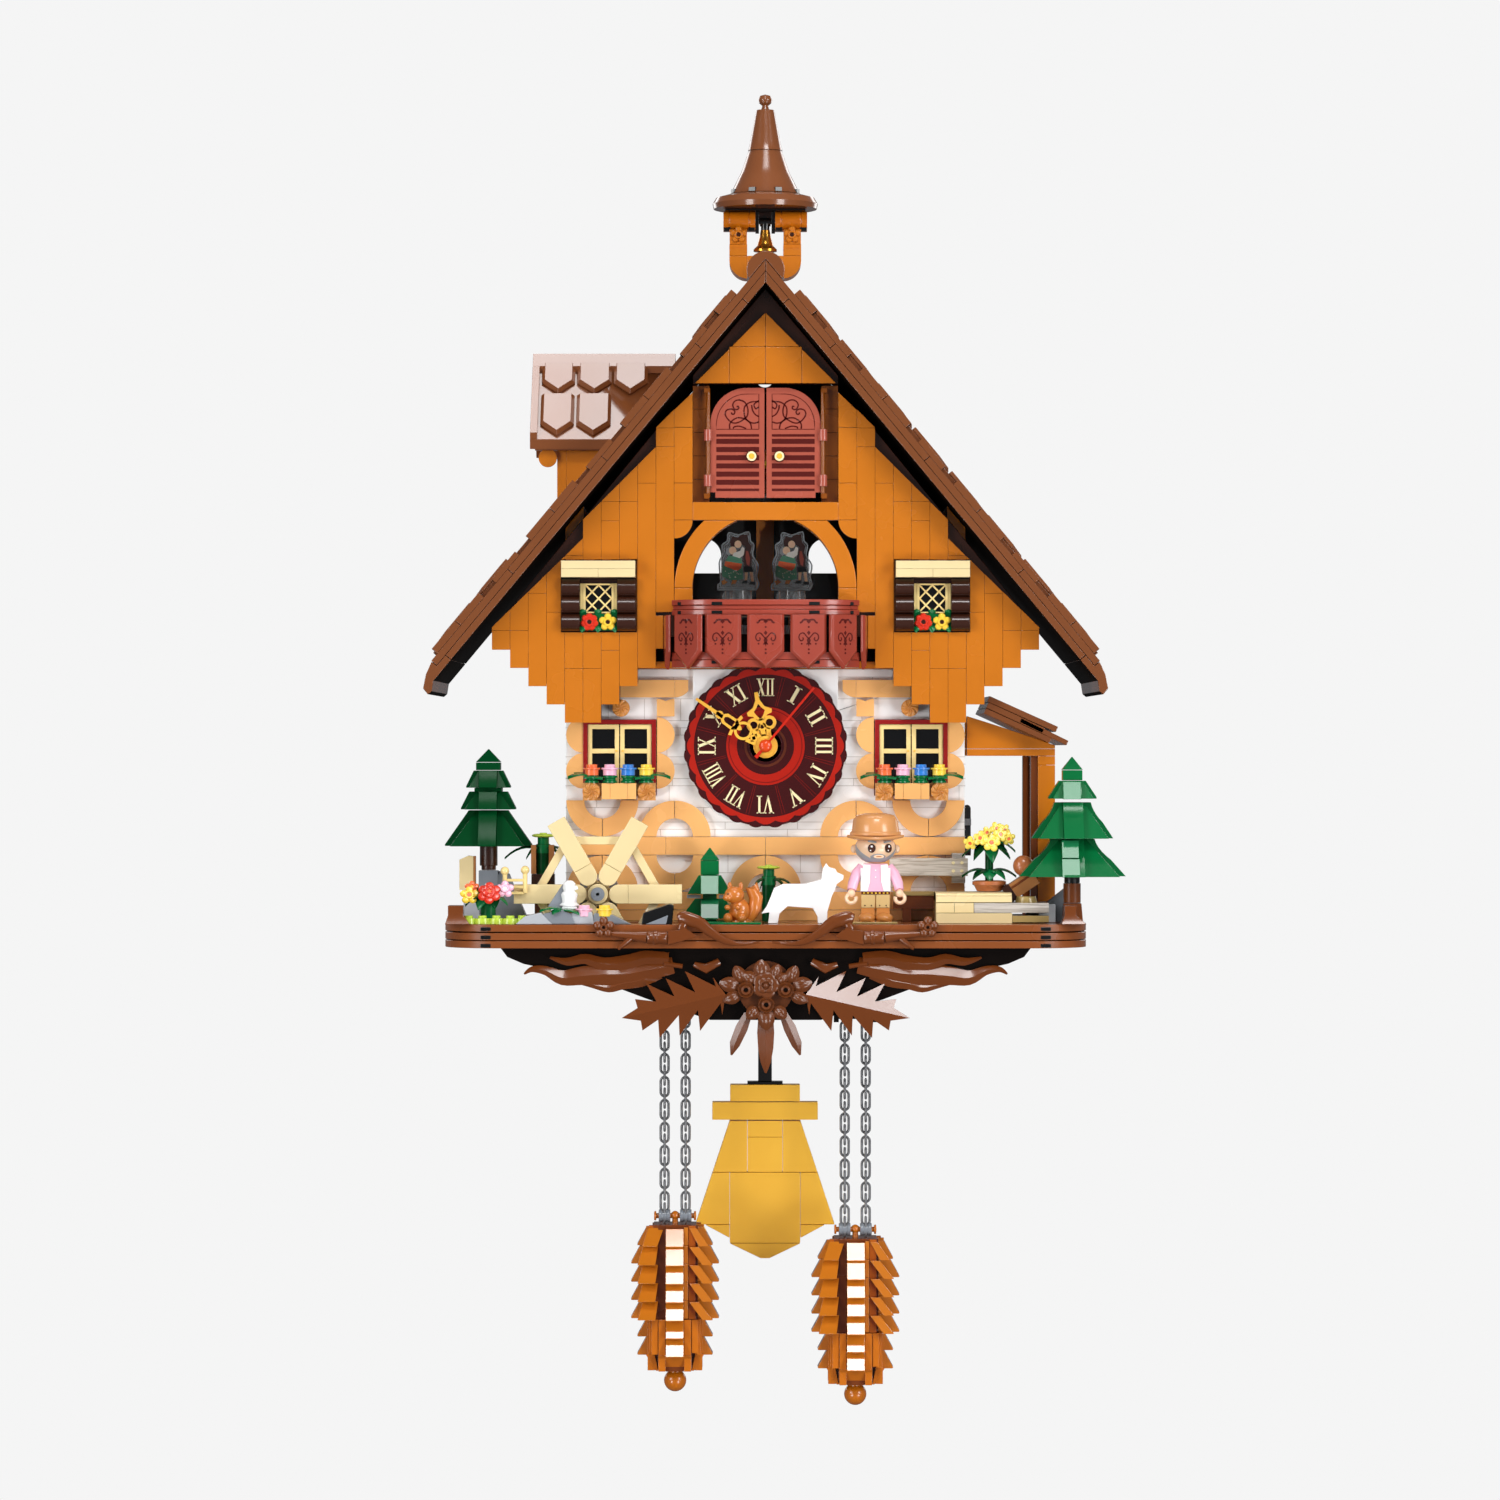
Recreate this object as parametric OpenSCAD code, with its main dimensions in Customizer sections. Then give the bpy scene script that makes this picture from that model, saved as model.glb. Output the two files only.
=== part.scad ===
// Brick-built cuckoo clock: chalet case on a deck, with a swinging pendulum, two
// pine-cone weights on chains, a cuckoo behind shutter doors, a dancer carousel,
// a mill wheel and a bell.
// Frame: origin at the wall hook hole on the wall plane, +Z up, front faces -Y.

/* [Bricks] */
// Height of one plate
plate = 3.2; // [3:0.1:3.4]
// Joint line left between neighbouring bricks
seam = 0.14; // [0.1:0.02:0.2]

/* [House] */
// Width of the lower storey
house_w = 176; // [170:1:178]
// Distance from the wall to the lower front face
house_d = 88; // [86:1:90]
// Distance from the wall to the face of the plank gable
gable_d = 104; // [102:1:106]
// Distance from the wall to the front edge of the roof
roof_d = 120; // [118:1:124]
// Rise of the roof for each unit of run
roof_slope = 1.2; // [1.15:0.01:1.25]
// Length of each roof side along the slope
roof_len = 220; // [216:1:224]

/* [Deck] */
// Width of the deck
deck_w = 279; // [276:1:284]
// Depth of the deck
deck_d = 144; // [142:1:150]

/* [Clock] */
// Radius of the scalloped dial
dial_r = 35.4; // [34:0.2:36]
// Height of the dial centre below the wall hook
dial_drop = 168; // [166:1:170]
// Radius of the wall hook hole
hook_r = 4; // [3:0.5:5]
// Width of each cuckoo door
door_w = 24.2; // [23:0.1:24.4]
// Half of the gap between the closed doors
door_gap = 0.45; // [0.4:0.05:1]
// Number of links in each chain strand
links = 19; // [17:2:19]

/* [Hidden] */

$fn = 48;
pitch = atan(roof_slope);
apex_z = 34;
dial_z = -dial_drop;
deck_z = -245;
half_w = house_w / 2;
panel_t = 4;
wall_t = 8;
floor_z = -134;
roof_t = 2 * plate;
bed_t = 3.1;

orange = [0.80, 0.45, 0.13];
tan_brick = [0.84, 0.60, 0.36];
cream = [0.93, 0.86, 0.68];
brown = [0.45, 0.25, 0.14];
dark_brown = [0.27, 0.14, 0.08];
red_brown = [0.62, 0.26, 0.20];
white = [0.93, 0.93, 0.93];
black = [0.05, 0.05, 0.05];
grey = [0.55, 0.57, 0.60];
gold = [0.90, 0.66, 0.18];
green = [0.05, 0.45, 0.22];
clear = [0.85, 0.90, 0.92];

// box between two corners
module box(a, b) {
    translate(a) cube(b - a);
}

// a shape drawn in X and Z, from depth y0 to y1
module xz(y0, y1) {
    translate([0, y1, 0]) rotate([90, 0, 0]) linear_extrude(y1 - y0) children();
}

// a shape drawn in Y and Z, from x0 to x1
module yz(x0, x1) {
    translate([x0, 0, 0]) rotate([90, 0, 90]) linear_extrude(x1 - x0) children();
}

// a cylinder along Y
module rod_y(x, z, r, y0, y1) {
    translate([x, y1, z]) rotate([90, 0, 0]) cylinder(r = r, h = y1 - y0);
}

// a cylinder along X
module rod_x(y, z, r, x0, x1) {
    translate([x0, y, z]) rotate([0, 90, 0]) cylinder(r = r, h = x1 - x0);
}

// the same children on the left and on the right
module both() {
    children();
    mirror([1, 0, 0]) children();
}

// rectangle between two corners
module rect(x0, z0, x1, z1) {
    translate([x0, z0]) square([x1 - x0, z1 - z0]);
}

// height of the roof underside above a point
function under_roof(x) = apex_z - roof_slope * abs(x);

// slope frame of the right roof side: X runs down the slope, Z stands off it
module on_slope() {
    translate([0, 0, apex_z]) rotate([0, pitch, 0]) children();
}

// outline of a module 1 gear, teeth with clearance for a loose mesh
function gear_points(teeth, phase) = [
    for (i = [0 : teeth - 1])
        for (p = [[-0.27, -1.2], [-0.18, 0], [-0.08, 0.75],
                  [0.08, 0.75], [0.18, 0], [0.27, -1.2]])
            (teeth / 2 + p[1]) * [
                cos(phase + (i + p[0]) * 360 / teeth),
                sin(phase + (i + p[0]) * 360 / teeth)
            ]
];

// ---------- case ----------

window_x = 28;
window_z = -81;
module back_panel() {
    edge = half_w;
    color(black) difference() {
        xz(-panel_t, 0)
            polygon([[-edge, deck_z], [edge, deck_z], [edge, under_roof(edge) - 0.4],
                     [0, apex_z - 0.4], [-edge, under_roof(edge) - 0.4]]);
        both() {
            rod_y(window_x, window_z, 8, -panel_t - 1, 1);
            box([window_x - 8, -panel_t - 1, window_z - 8],
                [window_x + 8, 1, window_z]);
        }
        box([-32, -panel_t - 1, -204], [32, 1, -138]);
        rod_y(0, 0, hook_r, -panel_t - 1, 1);
    }
}

corner_r = 24;
wheel_x = -73;
wheel_z = -232.5;
wheel_y0 = -123;
wheel_y1 = -115;
wheel_r = 36.6;
module wheel_well() {
    box([wheel_x - wheel_r - 2, wheel_y0 - 2, deck_z - 60],
        [wheel_x + wheel_r + 2, wheel_y1 + 2, deck_z + 1]);
}

module deck_layer(z0, z1, inset) {
    w = deck_w / 2 - inset;
    translate([0, 0, z0]) linear_extrude(z1 - z0) hull() both() {
        translate([w - corner_r, corner_r - deck_d + inset]) circle(r = corner_r);
        translate([w - 1, -1]) square(1);
    }
}

module deck_plates() {
    color(brown) for (i = [0 : 2])
        difference() {
            top = deck_z - i * (plate + 0.3) - (i == 0 ? 0 : 0.14);
            deck_layer(top - plate, top - 0.1, 0);
            wheel_well();
        }
}

keel_y0 = -132;
keel_y1 = -30;
pend_y0 = -27;
pend_y1 = -19;
pend_z = -272;
pin_z = -283;
right_drop = 6.1;
chain_x = 40.3;
chain_y = -56;
strand = 4.7;
module keel() {
    top = deck_z - 10.5;
    edge = [[115, top], [112, -259.5], [105, -262.5], [98, -264], [85, -268],
            [65, -272.6], [50.6, -278], [24, -286.8]];
    color(black) difference() {
        xz(keel_y0, keel_y1)
            polygon(concat(edge, [for (i = [7 : -1 : 0]) [-edge[i][0], edge[i][1]]]));
        wheel_well();
        both() box([chain_x - 8, chain_y - 5, -300], [chain_x + 8, chain_y + 5, -276]);
    }
    color(black) rod_y(0, pend_z, 2, keel_y1 - 3, -16);
    color(black) rod_y(0, pend_z, 3.4, pend_y1 + 0.5, -15);
    color(black) for (side = [[-1, 0], [1, right_drop]]) {
        z = pin_z - side[1];
        rod_x(chain_y, z, 1.1, side[0] * chain_x - 9, side[0] * chain_x + 9);
        for (s = [-9.6, 7.4])
            box([side[0] * chain_x + s, chain_y - 3, z - 2.4],
                [side[0] * chain_x + s + 2.2, chain_y + 3, -274]);
    }
}

carousel_y = -56;
crank_z = -214;
module front_wall() {
    color(white) difference() {
        box([-half_w, -house_d, deck_z], [half_w, wall_t - house_d, floor_z - 0.1]);
        both() box([48, -house_d - 1, -190], [80, 1 - house_d + wall_t, -156.3]);
        rod_y(0, dial_z, 5, -house_d - 1, 1 - house_d + wall_t);
    }
    color(white) difference() {
        xz(-house_d - 3.1, -house_d - 0.1) hull() {
            rect(-32, -150, 32, -134.2);
            both() translate([8, -178]) circle(r = 24);
        }
        rod_y(0, dial_z, 5, -house_d - 5, 0);
    }
}

module side_walls() {
    color(white) difference() {
        both() box([half_w - wall_t, wall_t - house_d + 0.1, deck_z],
                   [half_w, -panel_t - 0.1, floor_z]);
        rod_x(carousel_y, crank_z, 2.46, half_w - 10, half_w + 1);
    }
    color(orange) both() xz(-95.9, -panel_t - 0.1)
        polygon([[half_w - wall_t, floor_z + 0.1], [half_w, floor_z + 0.1],
                 [half_w, under_roof(half_w) - 0.5],
                 [half_w - wall_t, under_roof(half_w - wall_t) - 0.5]]);
}

module upper_floor() {
    inner = half_w - wall_t - 0.1;
    color(orange) difference() {
        box([-inner, -95.9, floor_z], [inner, -panel_t - 0.1, floor_z + plate]);
        translate([0, carousel_y, floor_z - 1]) cylinder(r = 2.46, h = 8);
        box([-18, -97, floor_z - 1], [18, -91.1, floor_z + 5]);
    }
    color(orange) box([-4, -28, floor_z + plate + 0.1], [4, -20, -62]);
}

// ---------- plank gable ----------

planks = [
    // inner edge, bottom, top at the inner edge, seams
    [40, -109.3, -20.5, [-28.5, -36.7]],
    [48, -133.8, -36.9, [-52.7]],
    [56, -141.8, -44.9, [-60.7, -86]],
    [64, -149.8, -52.9, [-60.7, -69.2, -126]],
    [72, -157.8, -60.9, [-134]],
    [80, -157.8, -77, [-84.5, -134]],
    [88, -149.8, -84.8, [-109.3]],
    [96, -141.8, -92.6, [-101]],
    [104, -133.8, -100.4, [-117.3]],
    [112, -125.8, -108.2, [-117.3]]
];

// one vertical plank cut to its bricks, in X and Z
module plank(x0, bottom, top, seams) {
    cuts = concat([top + 4], seams, [bottom]);
    for (i = [0 : len(cuts) - 2])
        intersection() {
            polygon([[x0 + seam, bottom], [x0 + 8, bottom],
                     [x0 + 8, top - 7.8], [x0 + seam, top]]);
            rect(x0, cuts[i + 1], x0 + 8, cuts[i] - seam);
        }
}

module inner_plank() {
    polygon([[32, -28.2], [40, -28.2], [40, -20.6], [32, -13]]);
    rect(32, -52.6, 40, -28.4);
    rect(32, -68.8, 40, -52.8);
    difference() {
        rect(32, -77, 40, -69);
        difference() {
            rect(31, -78, 40, -69);
            translate([40, -69]) circle(r = 8);
        }
    }
}

module gable_wing() {
    xz(-gable_d, -100.9) {
        inner_plank();
        for (p = planks)
            if (p[0] < 56 || p[0] > 88) plank(p[0], p[1], p[2], p[3]);
    }
    for (p = planks)
        if (p[0] >= 56 && p[0] <= 88) difference() {
            xz(-gable_d, -100.9) plank(p[0], p[1], p[2], p[3]);
            box([56.4, -gable_d - 1, -118.2], [89.8, -100, -86.2]);
        }
}

module gable_left() {
    color(orange) mirror([1, 0, 0]) gable_wing();
}

module gable_right() {
    color(orange) gable_wing();
}

module gable_backing() {
    color(dark_brown) both() xz(-100.8, -96) difference() {
        union() {
            polygon([[32.1, -61], [32.1, -14], [48, -29], [120, -117], [120, -124],
                     [40.1, -124], [40.1, -61]]);
            for (p = planks)
                if (p[0] > 40) rect(p[0], p[1] + 1, p[0] + 8, -118);
        }
        rect(20, -140, 48, -120);
    }
    color(dark_brown) xz(-100.8, -96)
        polygon([[-32, -9], [32, -9], [32, -5.4], [0, 33], [-32, -5.4]]);
}

module gable_centre() {
    color(orange) {
        both() {
            xz(-gable_d, -100.9) {
                polygon([[seam / 2, 7.2], [14.8, 7.2], [seam / 2, 22]]);
                rect(seam / 2, -8.9, 16 - seam, 7.06);
                polygon([[16, 6], [16, -8.9], [30.9, -8.9]]);
            }
        }
        box([-32, -gable_d, -68.9], [32, -96, -61.1]);
    }
}

arch_z = -98.6;
module arch() {
    color(orange) both() xz(-gable_d, -wall_t - 80.1) {
        intersection() {
            translate([0, arch_z]) difference() {
                circle(r = 39.9);
                circle(r = 32);
            }
            rect(seam / 2, arch_z, 60, -69.1);
        }
        rect(32, floor_z + plate + 0.1, 39.9, arch_z - seam);
    }
}

// ---------- cuckoo doors ----------

hinge_x = 25.2;
hinge_y = -100.6;
module cuckoo_jambs() {
    color(brown) both() {
        for (i = [0 : 4])
            box([24.7, -96.9, -60.9 + i * 10.3], [31.9, -72, -60.9 + i * 10.3 + 10.1]);
        box([24.7, hinge_y - 1.4, -59.4], [27, -96.8, -57.2]);
        box([24.7, hinge_y - 1.4, -12.9], [27, -96.8, -10.9]);
        translate([hinge_x, hinge_y, -59]) cylinder(r = 0.9, h = 48);
    }
}

module door() {
    difference() {
        union() {
            xz(-100, -97) intersection() {
                union() {
                    rect(door_gap, -59, door_w, -26.7);
                    translate([door_w - 16, -26.7]) circle(r = 16);
                    rect(door_gap, -26.8, door_w - 16, -10.7);
                }
                rect(door_gap, -60, door_w, 0);
            }
            for (z = [-54, -34])
                translate([hinge_x, hinge_y, z]) cylinder(r = 1.9, h = 5);
            for (z = [-54, -34])
                box([door_w - 2, -100, z], [hinge_x - 0.3, -98.8, z + 5]);
        }
        translate([hinge_x, hinge_y, -62]) cylinder(r = 0.96, h = 60);
        box([22, -104, -62], [28, -90, -56.6]);
    }
}

module right_door() {
    color(red_brown) door();
    color(gold) rod_y(6.1, -40.8, 2.1, -102.3, -100.1);
}

module left_door() {
    mirror([1, 0, 0]) right_door();
}

rail_x = 9;
rail_z = -50;
module cuckoo_rails() {
    color(black) difference() {
        box([-14, -20, rail_z - 5], [14, -panel_t - 0.1, rail_z + 5]);
        both() rod_y(rail_x, rail_z, 1.5, -21, -10);
    }
    color(grey) both() rod_y(rail_x, rail_z, 1.5, -92, -10);
}

module cuckoo_carriage() {
    color(brown) difference() {
        union() {
            box([-13, -60, rail_z - 5], [13, -50, rail_z + 5]);
            box([-5, -92, rail_z - 5], [5, -59, rail_z - 2]);
        }
        both() rod_y(rail_x, rail_z, 1.56, -70, -40);
    }
}

module cuckoo_bird() {
    color(orange) translate([0, -66, rail_z + 6]) rotate([90, 0, 0]) rotate_extrude()
        polygon([[0, -4], [4.5, -2], [7, 5], [7.6, 11], [5.5, 17], [6, 20], [4.8, 25],
                 [0, 27]]);
    color(gold) translate([0, -93.1, rail_z + 6]) rotate([90, 0, 0])
        cylinder(r1 = 2.2, r2 = 0.5, h = 3.4);
    color(brown) box([-2, -82, rail_z - 1.9], [2, -76, rail_z]);
}

// ---------- carousel ----------

disc_z = -111;
spin_r = 12;
module on_carousel() {
    translate([0, carousel_y, 0]) children();
}

module carousel() {
    color(clear) on_carousel() {
        difference() {
            translate([0, 0, disc_z]) cylinder(r = 26, h = 3);
            for (x = [-spin_r, spin_r])
                translate([x, 0, disc_z - 1]) cylinder(r = 1.66, h = 5);
        }
        translate([0, 0, -231.5]) cylinder(r = 2.4, h = disc_z + 232);
    }
}

module crown_gear() {
    face = crank_z + 4 + 1.2;
    color(grey) on_carousel() difference() {
        union() {
            translate([0, 0, face]) cylinder(r = 13.6, h = 3);
            for (i = [0 : 23])
                rotate([0, 0, 7.5 + i * 15]) yz(9.6, 13.6)
                    polygon([[-0.72, face + 0.1], [0.72, face + 0.1], [0.45, face - 1.2],
                             [0.22, face - 1.95], [-0.22, face - 1.95],
                             [-0.45, face - 1.2]]);
        }
        translate([0, 0, face - 4]) cylinder(r = 2.42, h = 12);
    }
}

module sun_gear() {
    color(grey) on_carousel() difference() {
        union() {
            translate([0, 0, floor_z + plate + 0.1]) cylinder(r = 5, h = 13);
            translate([0, 0, -118]) linear_extrude(4) polygon(gear_points(16, 0));
        }
        translate([0, 0, floor_z]) cylinder(r = 2.8, h = 30);
    }
}

module dancers(x) {
    on_carousel() translate([x, 0, 0]) {
        translate([0, 0, -118]) linear_extrude(4) polygon(gear_points(8, 22.5));
        translate([0, 0, -114.1]) cylinder(r = 1.6, h = 7);
        translate([0, 0, -107.8]) cylinder(r = 9, h = 2.7);
        translate([0, 0, -105.2]) cylinder(r = 6, h = 7.2);
        translate([0, 1, 0]) xz(-2, 0) hull() {
            rect(-9, -98.2, 9, -88);
            translate([-3, -79]) circle(r = 5);
            translate([4, -78]) circle(r = 5);
        }
    }
}

module left_dancers() {
    color(clear) dancers(-spin_r);
}

module right_dancers() {
    color(clear) dancers(spin_r);
}

module gear_posts() {
    color(grey) difference() {
        box([-7, carousel_y - 7, deck_z], [7, carousel_y + 7, -222]);
        on_carousel() translate([0, 0, -232]) cylinder(r = 2.46, h = 20);
    }
    color(grey) difference() {
        box([20, carousel_y - 6, deck_z], [26, carousel_y + 6, -207]);
        rod_x(carousel_y, crank_z, 2.46, 18, 28);
    }
}

module crank() {
    color(black) {
        rod_x(carousel_y, crank_z, 2.4, 13.4, 92);
        translate([10.4, carousel_y, crank_z]) rotate([0, 90, 0])
            linear_extrude(3.1) polygon(gear_points(8, 0));
        box([88.6, carousel_y - 2.4, crank_z - 3], [92, carousel_y + 2.4, -194.3]);
    }
}

// ---------- clock ----------

module movement_case() {
    color(black) difference() {
        union() {
            box([-28, -79.8, -196], [28, -64, -140]);
            rod_y(0, dial_z, 4.8, -92, -79);
        }
        box([-26, -78.6, -195.4], [26, -63, -178.6]);
        rod_y(0, dial_z, 3.06, -93, -70);
    }
}

module battery() {
    color(gold) rod_x(-71.2, -187, 7, -25, 24);
    color(grey) rod_x(-71.2, -187, 2.6, 24.1, 25.6);
}

module dial() {
    color(dark_brown) difference() {
        xz(-94.3, -91.3) translate([0, dial_z]) union() {
            circle(r = dial_r, $fn = 96);
            for (i = [0 : 23])
                rotate(7.5 + i * 15) translate([dial_r - 3.9, 0]) circle(r = 4.7, $fn = 24);
        }
        rod_y(0, dial_z, 5, -100, -80);
    }
    color(gold) difference() {
        rod_y(0, dial_z, 7.3, -95.6, -94.4);
        rod_y(0, dial_z, 5, -100, -80);
    }
}

// flat hand outline drawn pointing up, length and half width of its blade
module hand_shape(length, blade) {
    polygon([[-blade, 3], [-blade * 0.9, length * 0.55], [0, length],
             [blade * 0.9, length * 0.55], [blade, 3]]);
}

module hour_hand() {
    color(gold) translate([0, 0, dial_z]) difference() {
        union() {
            rod_y(0, 0, 3, -97.2, -76);
            rod_y(0, 0, 5.4, -97.2, -96.1);
            xz(-97.2, -96.1) rotate(-350) hand_shape(24, 3.4);
        }
        rod_y(0, 0, 2.26, -100, -70);
    }
}

module minute_hand() {
    color(gold) translate([0, 0, dial_z]) difference() {
        union() {
            rod_y(0, 0, 2.2, -98.8, -74.5);
            rod_y(0, 0, 4.6, -98.8, -97.7);
            xz(-98.8, -97.7) rotate(-304.2) hand_shape(36.9, 2.4);
        }
        rod_y(0, 0, 1.26, -101, -70);
    }
}

module second_hand() {
    color("red") translate([0, 0, dial_z]) {
        rod_y(0, 0, 1.2, -100.2, -73);
        rod_y(0, 0, 2.9, -101.8, -99.3);
        xz(-100.3, -99.4) rotate(-39.8) polygon([[-0.6, -6.7], [-0.5, 33.3], [0.5, 33.3],
                                                  [0.6, -6.7]]);
    }
}

// ---------- facade trim ----------

trim_y0 = -91.2;
trim_y1 = -88.1;

// half ring, open side up (dir 1) or down (dir -1)
module half_ring(x, z, dir) {
    translate([x, z]) for (s = [-1, 1])
        intersection() {
            difference() {
                circle(r = 15.9);
                circle(r = 8);
            }
            translate([s > 0 ? seam : -16, dir > 0 ? -16 : 0]) square([16 - seam, 16]);
        }
}

// round-ended tile: a straight part and a half disc
module round_side(x, z, dir) {
    intersection() {
        translate([x, z]) circle(r = 7.9);
        translate([dir > 0 ? x : x - 8, z - 8]) square([8, 16]);
    }
}

module wall_trim() {
    color(tan_brick) both() xz(trim_y0, trim_y1) {
        for (z = [-163.2, -179])
            for (i = [0, 1])
                round_side(i == 0 ? 80 : 47.9, z, i == 0 ? 1 : -1);
        difference() {
            rect(40, -146.6, 64, -138.9);
            rect(0, -150, 32.5, -134);
        }
        intersection() {
            translate([40, -138.9]) circle(r = 7.7);
            rect(34, -147, 39.9, -138.9);
        }
        for (s = [0, 1])
            intersection() {
                translate([s == 0 ? 40 : 48, -155]) circle(r = 7.8);
                rect(s == 0 ? 40.1 : 40, -155, s == 0 ? 48 : 47.9, -147);
            }
        half_ring(71.9, -192, 1);
        half_ring(40, -208, -1);
        half_ring(40, -216.2, 1);
        half_ring(72, -232.2, -1);
    }
    color(tan_brick) xz(trim_y0, trim_y1) {
        for (i = [0 : 3])
            rect(-88 + i * 44 + seam, -216, -44 + i * 44, -208.2);
        half_ring(0, -232.2, -1);
        for (i = [0 : 3])
            rect(-88 + i * 44 + seam, -240.2, -44 + i * 44, -232.4);
    }
    color(dark_brown) xz(trim_y0, trim_y1) rect(-88, -245, 88, -240.4);
}

module lower_windows() {
    color(red_brown) both() difference() {
        box([48.1, -92, -189.9], [79.9, -84, -156.4]);
        box([50.2, -93, -187.5], [78.2, -83, -158.4]);
    }
    color(cream) both() for (x = [50.3, 64.3])
        difference() {
            box([x, -91, -187.4], [x + 13.8, -89, -158.5]);
            for (z = [-169.6, -181])
                box([x + 1.7, -92, z], [x + 12.1, -88, z + 9.4]);
        }
    color(black) both() box([50.3, -88.9, -187.4], [78.1, -88, -158.5]);
}

module flower_boxes() {
    color(tan_brick) both() {
        box([57, -104, -191.6], [72, -92.1, -184.5]);
        for (x = [52.4, 76.6])
            rod_y(x, -188, 3.9, -102, -92.1);
    }
    color(green) both() box([42, -105.5, -184.3], [86.4, -96, -181.4]);
    color(gold) both() for (i = [0 : 3])
        translate([52 + i * 8, -102, -181.2]) cylinder(r = 2.9, h = 5);
}

module upper_windows() {
    color(cream) both() {
        box([57, -112, -90.2], [89.5, -101, -86.4]);
        box([57, -112, -94.2], [89.5, -101, -90.4]);
        difference() {
            box([65.4, -104.6, -110.3], [80.6, -102.4, -96.8]);
            box([66.4, -106, -109.4], [79.6, -101, -97.8]);
        }
    }
    color(dark_brown) both() for (i = [0 : 2], x = [56.7, 80.7])
        rod_x(-104.95, -98.4 - i * 7.9, 3.9, x, x + 8.6);
    color(black) both() box([65.4, -102.3, -110.3], [80.6, -101, -96.8]);
    color(brown) both() box([65.4, -104.6, -117.5], [80.6, -101, -110.5]);
    color("red") both() for (x = [69, 77])
        rod_y(x, -113.7, 3.8, -107.6, -104.7);
}

// ---------- roof ----------

module half_roof() {
    end = roof_len;
    difference() {
        on_slope() {
            for (c = [[-40, 24], [24, 128], [128, end - 6]])
                box([c[0] + seam, -roof_d + 8, 0], [c[1], -seam, bed_t]);
            for (c = [[-40, 56], [56, 160], [160, end]])
                box([c[0] + seam, -roof_d + 8, plate], [c[1], -seam, plate + bed_t]);
            for (c = [[-40, 12], [12, end - 6]])
                box([c[0] + seam, -roof_d, 0], [c[1], -roof_d + 7.9, bed_t]);
            for (c = [[-40, 40], [40, 104], [104, 168], [168, end]])
                box([c[0] + seam, -roof_d, plate], [c[1], -roof_d + 7.9, plate + bed_t]);
            box([12, -roof_d + 8, roof_t], [end - 3, -seam, roof_t + 2]);
            box([12, -roof_d, roof_t], [23.9, -roof_d + 7.9, roof_t + bed_t]);
            for (i = [0 : 2]) {
                x = 32 + i * 64;
                box([x, -roof_d, roof_t], [x + 15.9, -roof_d + 7.9, roof_t + 2.4]);
                for (k = [24, 40])
                    if (x + k < end - 8)
                        box([x + k, -roof_d, roof_t],
                            [min(x + k + 15.9, end - 1), -roof_d + 7.9, roof_t + bed_t]);
            }
            yz_eave(end);
        }
        box([-200, -200, -300], [seam / 2, 10, 200]);
        box([-1, belfry_y - 8.2, 40.1], [20, belfry_y + 8.2, 60]);
    }
}

// the rounded brick that closes the eave, in the slope frame
module yz_eave(end) {
    xz(-roof_d, -seam)
        polygon([[end - 5.8, 0], [end - 5.8, bed_t], [end + 0.2, bed_t], [end + 0.2, 6],
                 [end + 6, 4.4], [end + 11.5, 1.4], [end + 12.2, -2], [end + 10, -2.4],
                 [end + 6, 0]]);
}

module roof_right() {
    color(brown) half_roof();
}

module roof_left() {
    color(brown) mirror([1, 0, 0]) half_roof();
}

belfry_y = -60;
module ridge_cap() {
    ridge = apex_z + roof_t / cos(pitch) + 0.2;
    color(brown) for (y = [[-roof_d, belfry_y - 8.1], [belfry_y + 8.1, -seam]])
        xz(y[0], y[1]) intersection() {
            polygon([[0, ridge], [7, ridge - 7 * roof_slope],
                     [9, ridge - 7 * roof_slope], [9, 60], [-9, 60],
                     [-9, ridge - 7 * roof_slope], [-7, ridge - 7 * roof_slope]]);
            translate([0, 39.4]) circle(r = 8.2);
        }
}

dormer_y = -62;
dormer_x0 = -103.6;

// everything under the top of the left roof side
module over_left_roof() {
    lift = (roof_t + 2) / cos(pitch) + 0.5;
    difference() {
        children();
        xz(-200, 20) polygon([[-220, under_roof(220) + lift], [0, apex_z + lift],
                              [0, -400], [-220, -400]]);
    }
}

module dormer_walls() {
    color(orange) over_left_roof() {
        box([-87.7, -92, -62], [-66, -88, -38]);
        box([-87.7, -36, -62], [-66, -32, -38]);
        yz(-91.8, -87.8)
            polygon([[-92, -66], [-32, -66], [-32, -38], [dormer_y + 3, -4.4],
                     [dormer_y - 3, -4.4], [-92, -38]]);
        rod_y(-95.9, -41.2, 4, -94.4, -92.2);
    }
}

module dormer_roof() {
    drop = 37.2;
    run = 36;
    color(brown) over_left_roof() {
        for (s = [-1, 1])
            yz(dormer_x0, -40) polygon([
                [dormer_y + s * 0.1, 4], [dormer_y + s * run, 4 - drop],
                [dormer_y + s * run, -0.3 - drop], [dormer_y + s * 0.1, -0.2]
            ]);
        yz(dormer_x0, -40) polygon([
            [dormer_y - 6, -2.1], [dormer_y, 4.1], [dormer_y + 6, -2.1],
            [dormer_y + 6, 1.2], [dormer_y, 7.1], [dormer_y - 6, 1.2]
        ]);
        for (s = [-1, 1])
            yz(dormer_x0, dormer_x0 + 3.2) polygon([
                [dormer_y + s * 6.1, -2.1], [dormer_y + s * run, 4.1 - drop],
                [dormer_y + s * run, 7 - drop], [dormer_y + s * 6.1, 1.2]
            ]);
    }
    color(dark_brown) over_left_roof() for (y = [-97.6, -29.4])
        box([-101.4, y, -38], [-60, y + 3, -34.6]);
}

// ---------- belfry ----------

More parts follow.
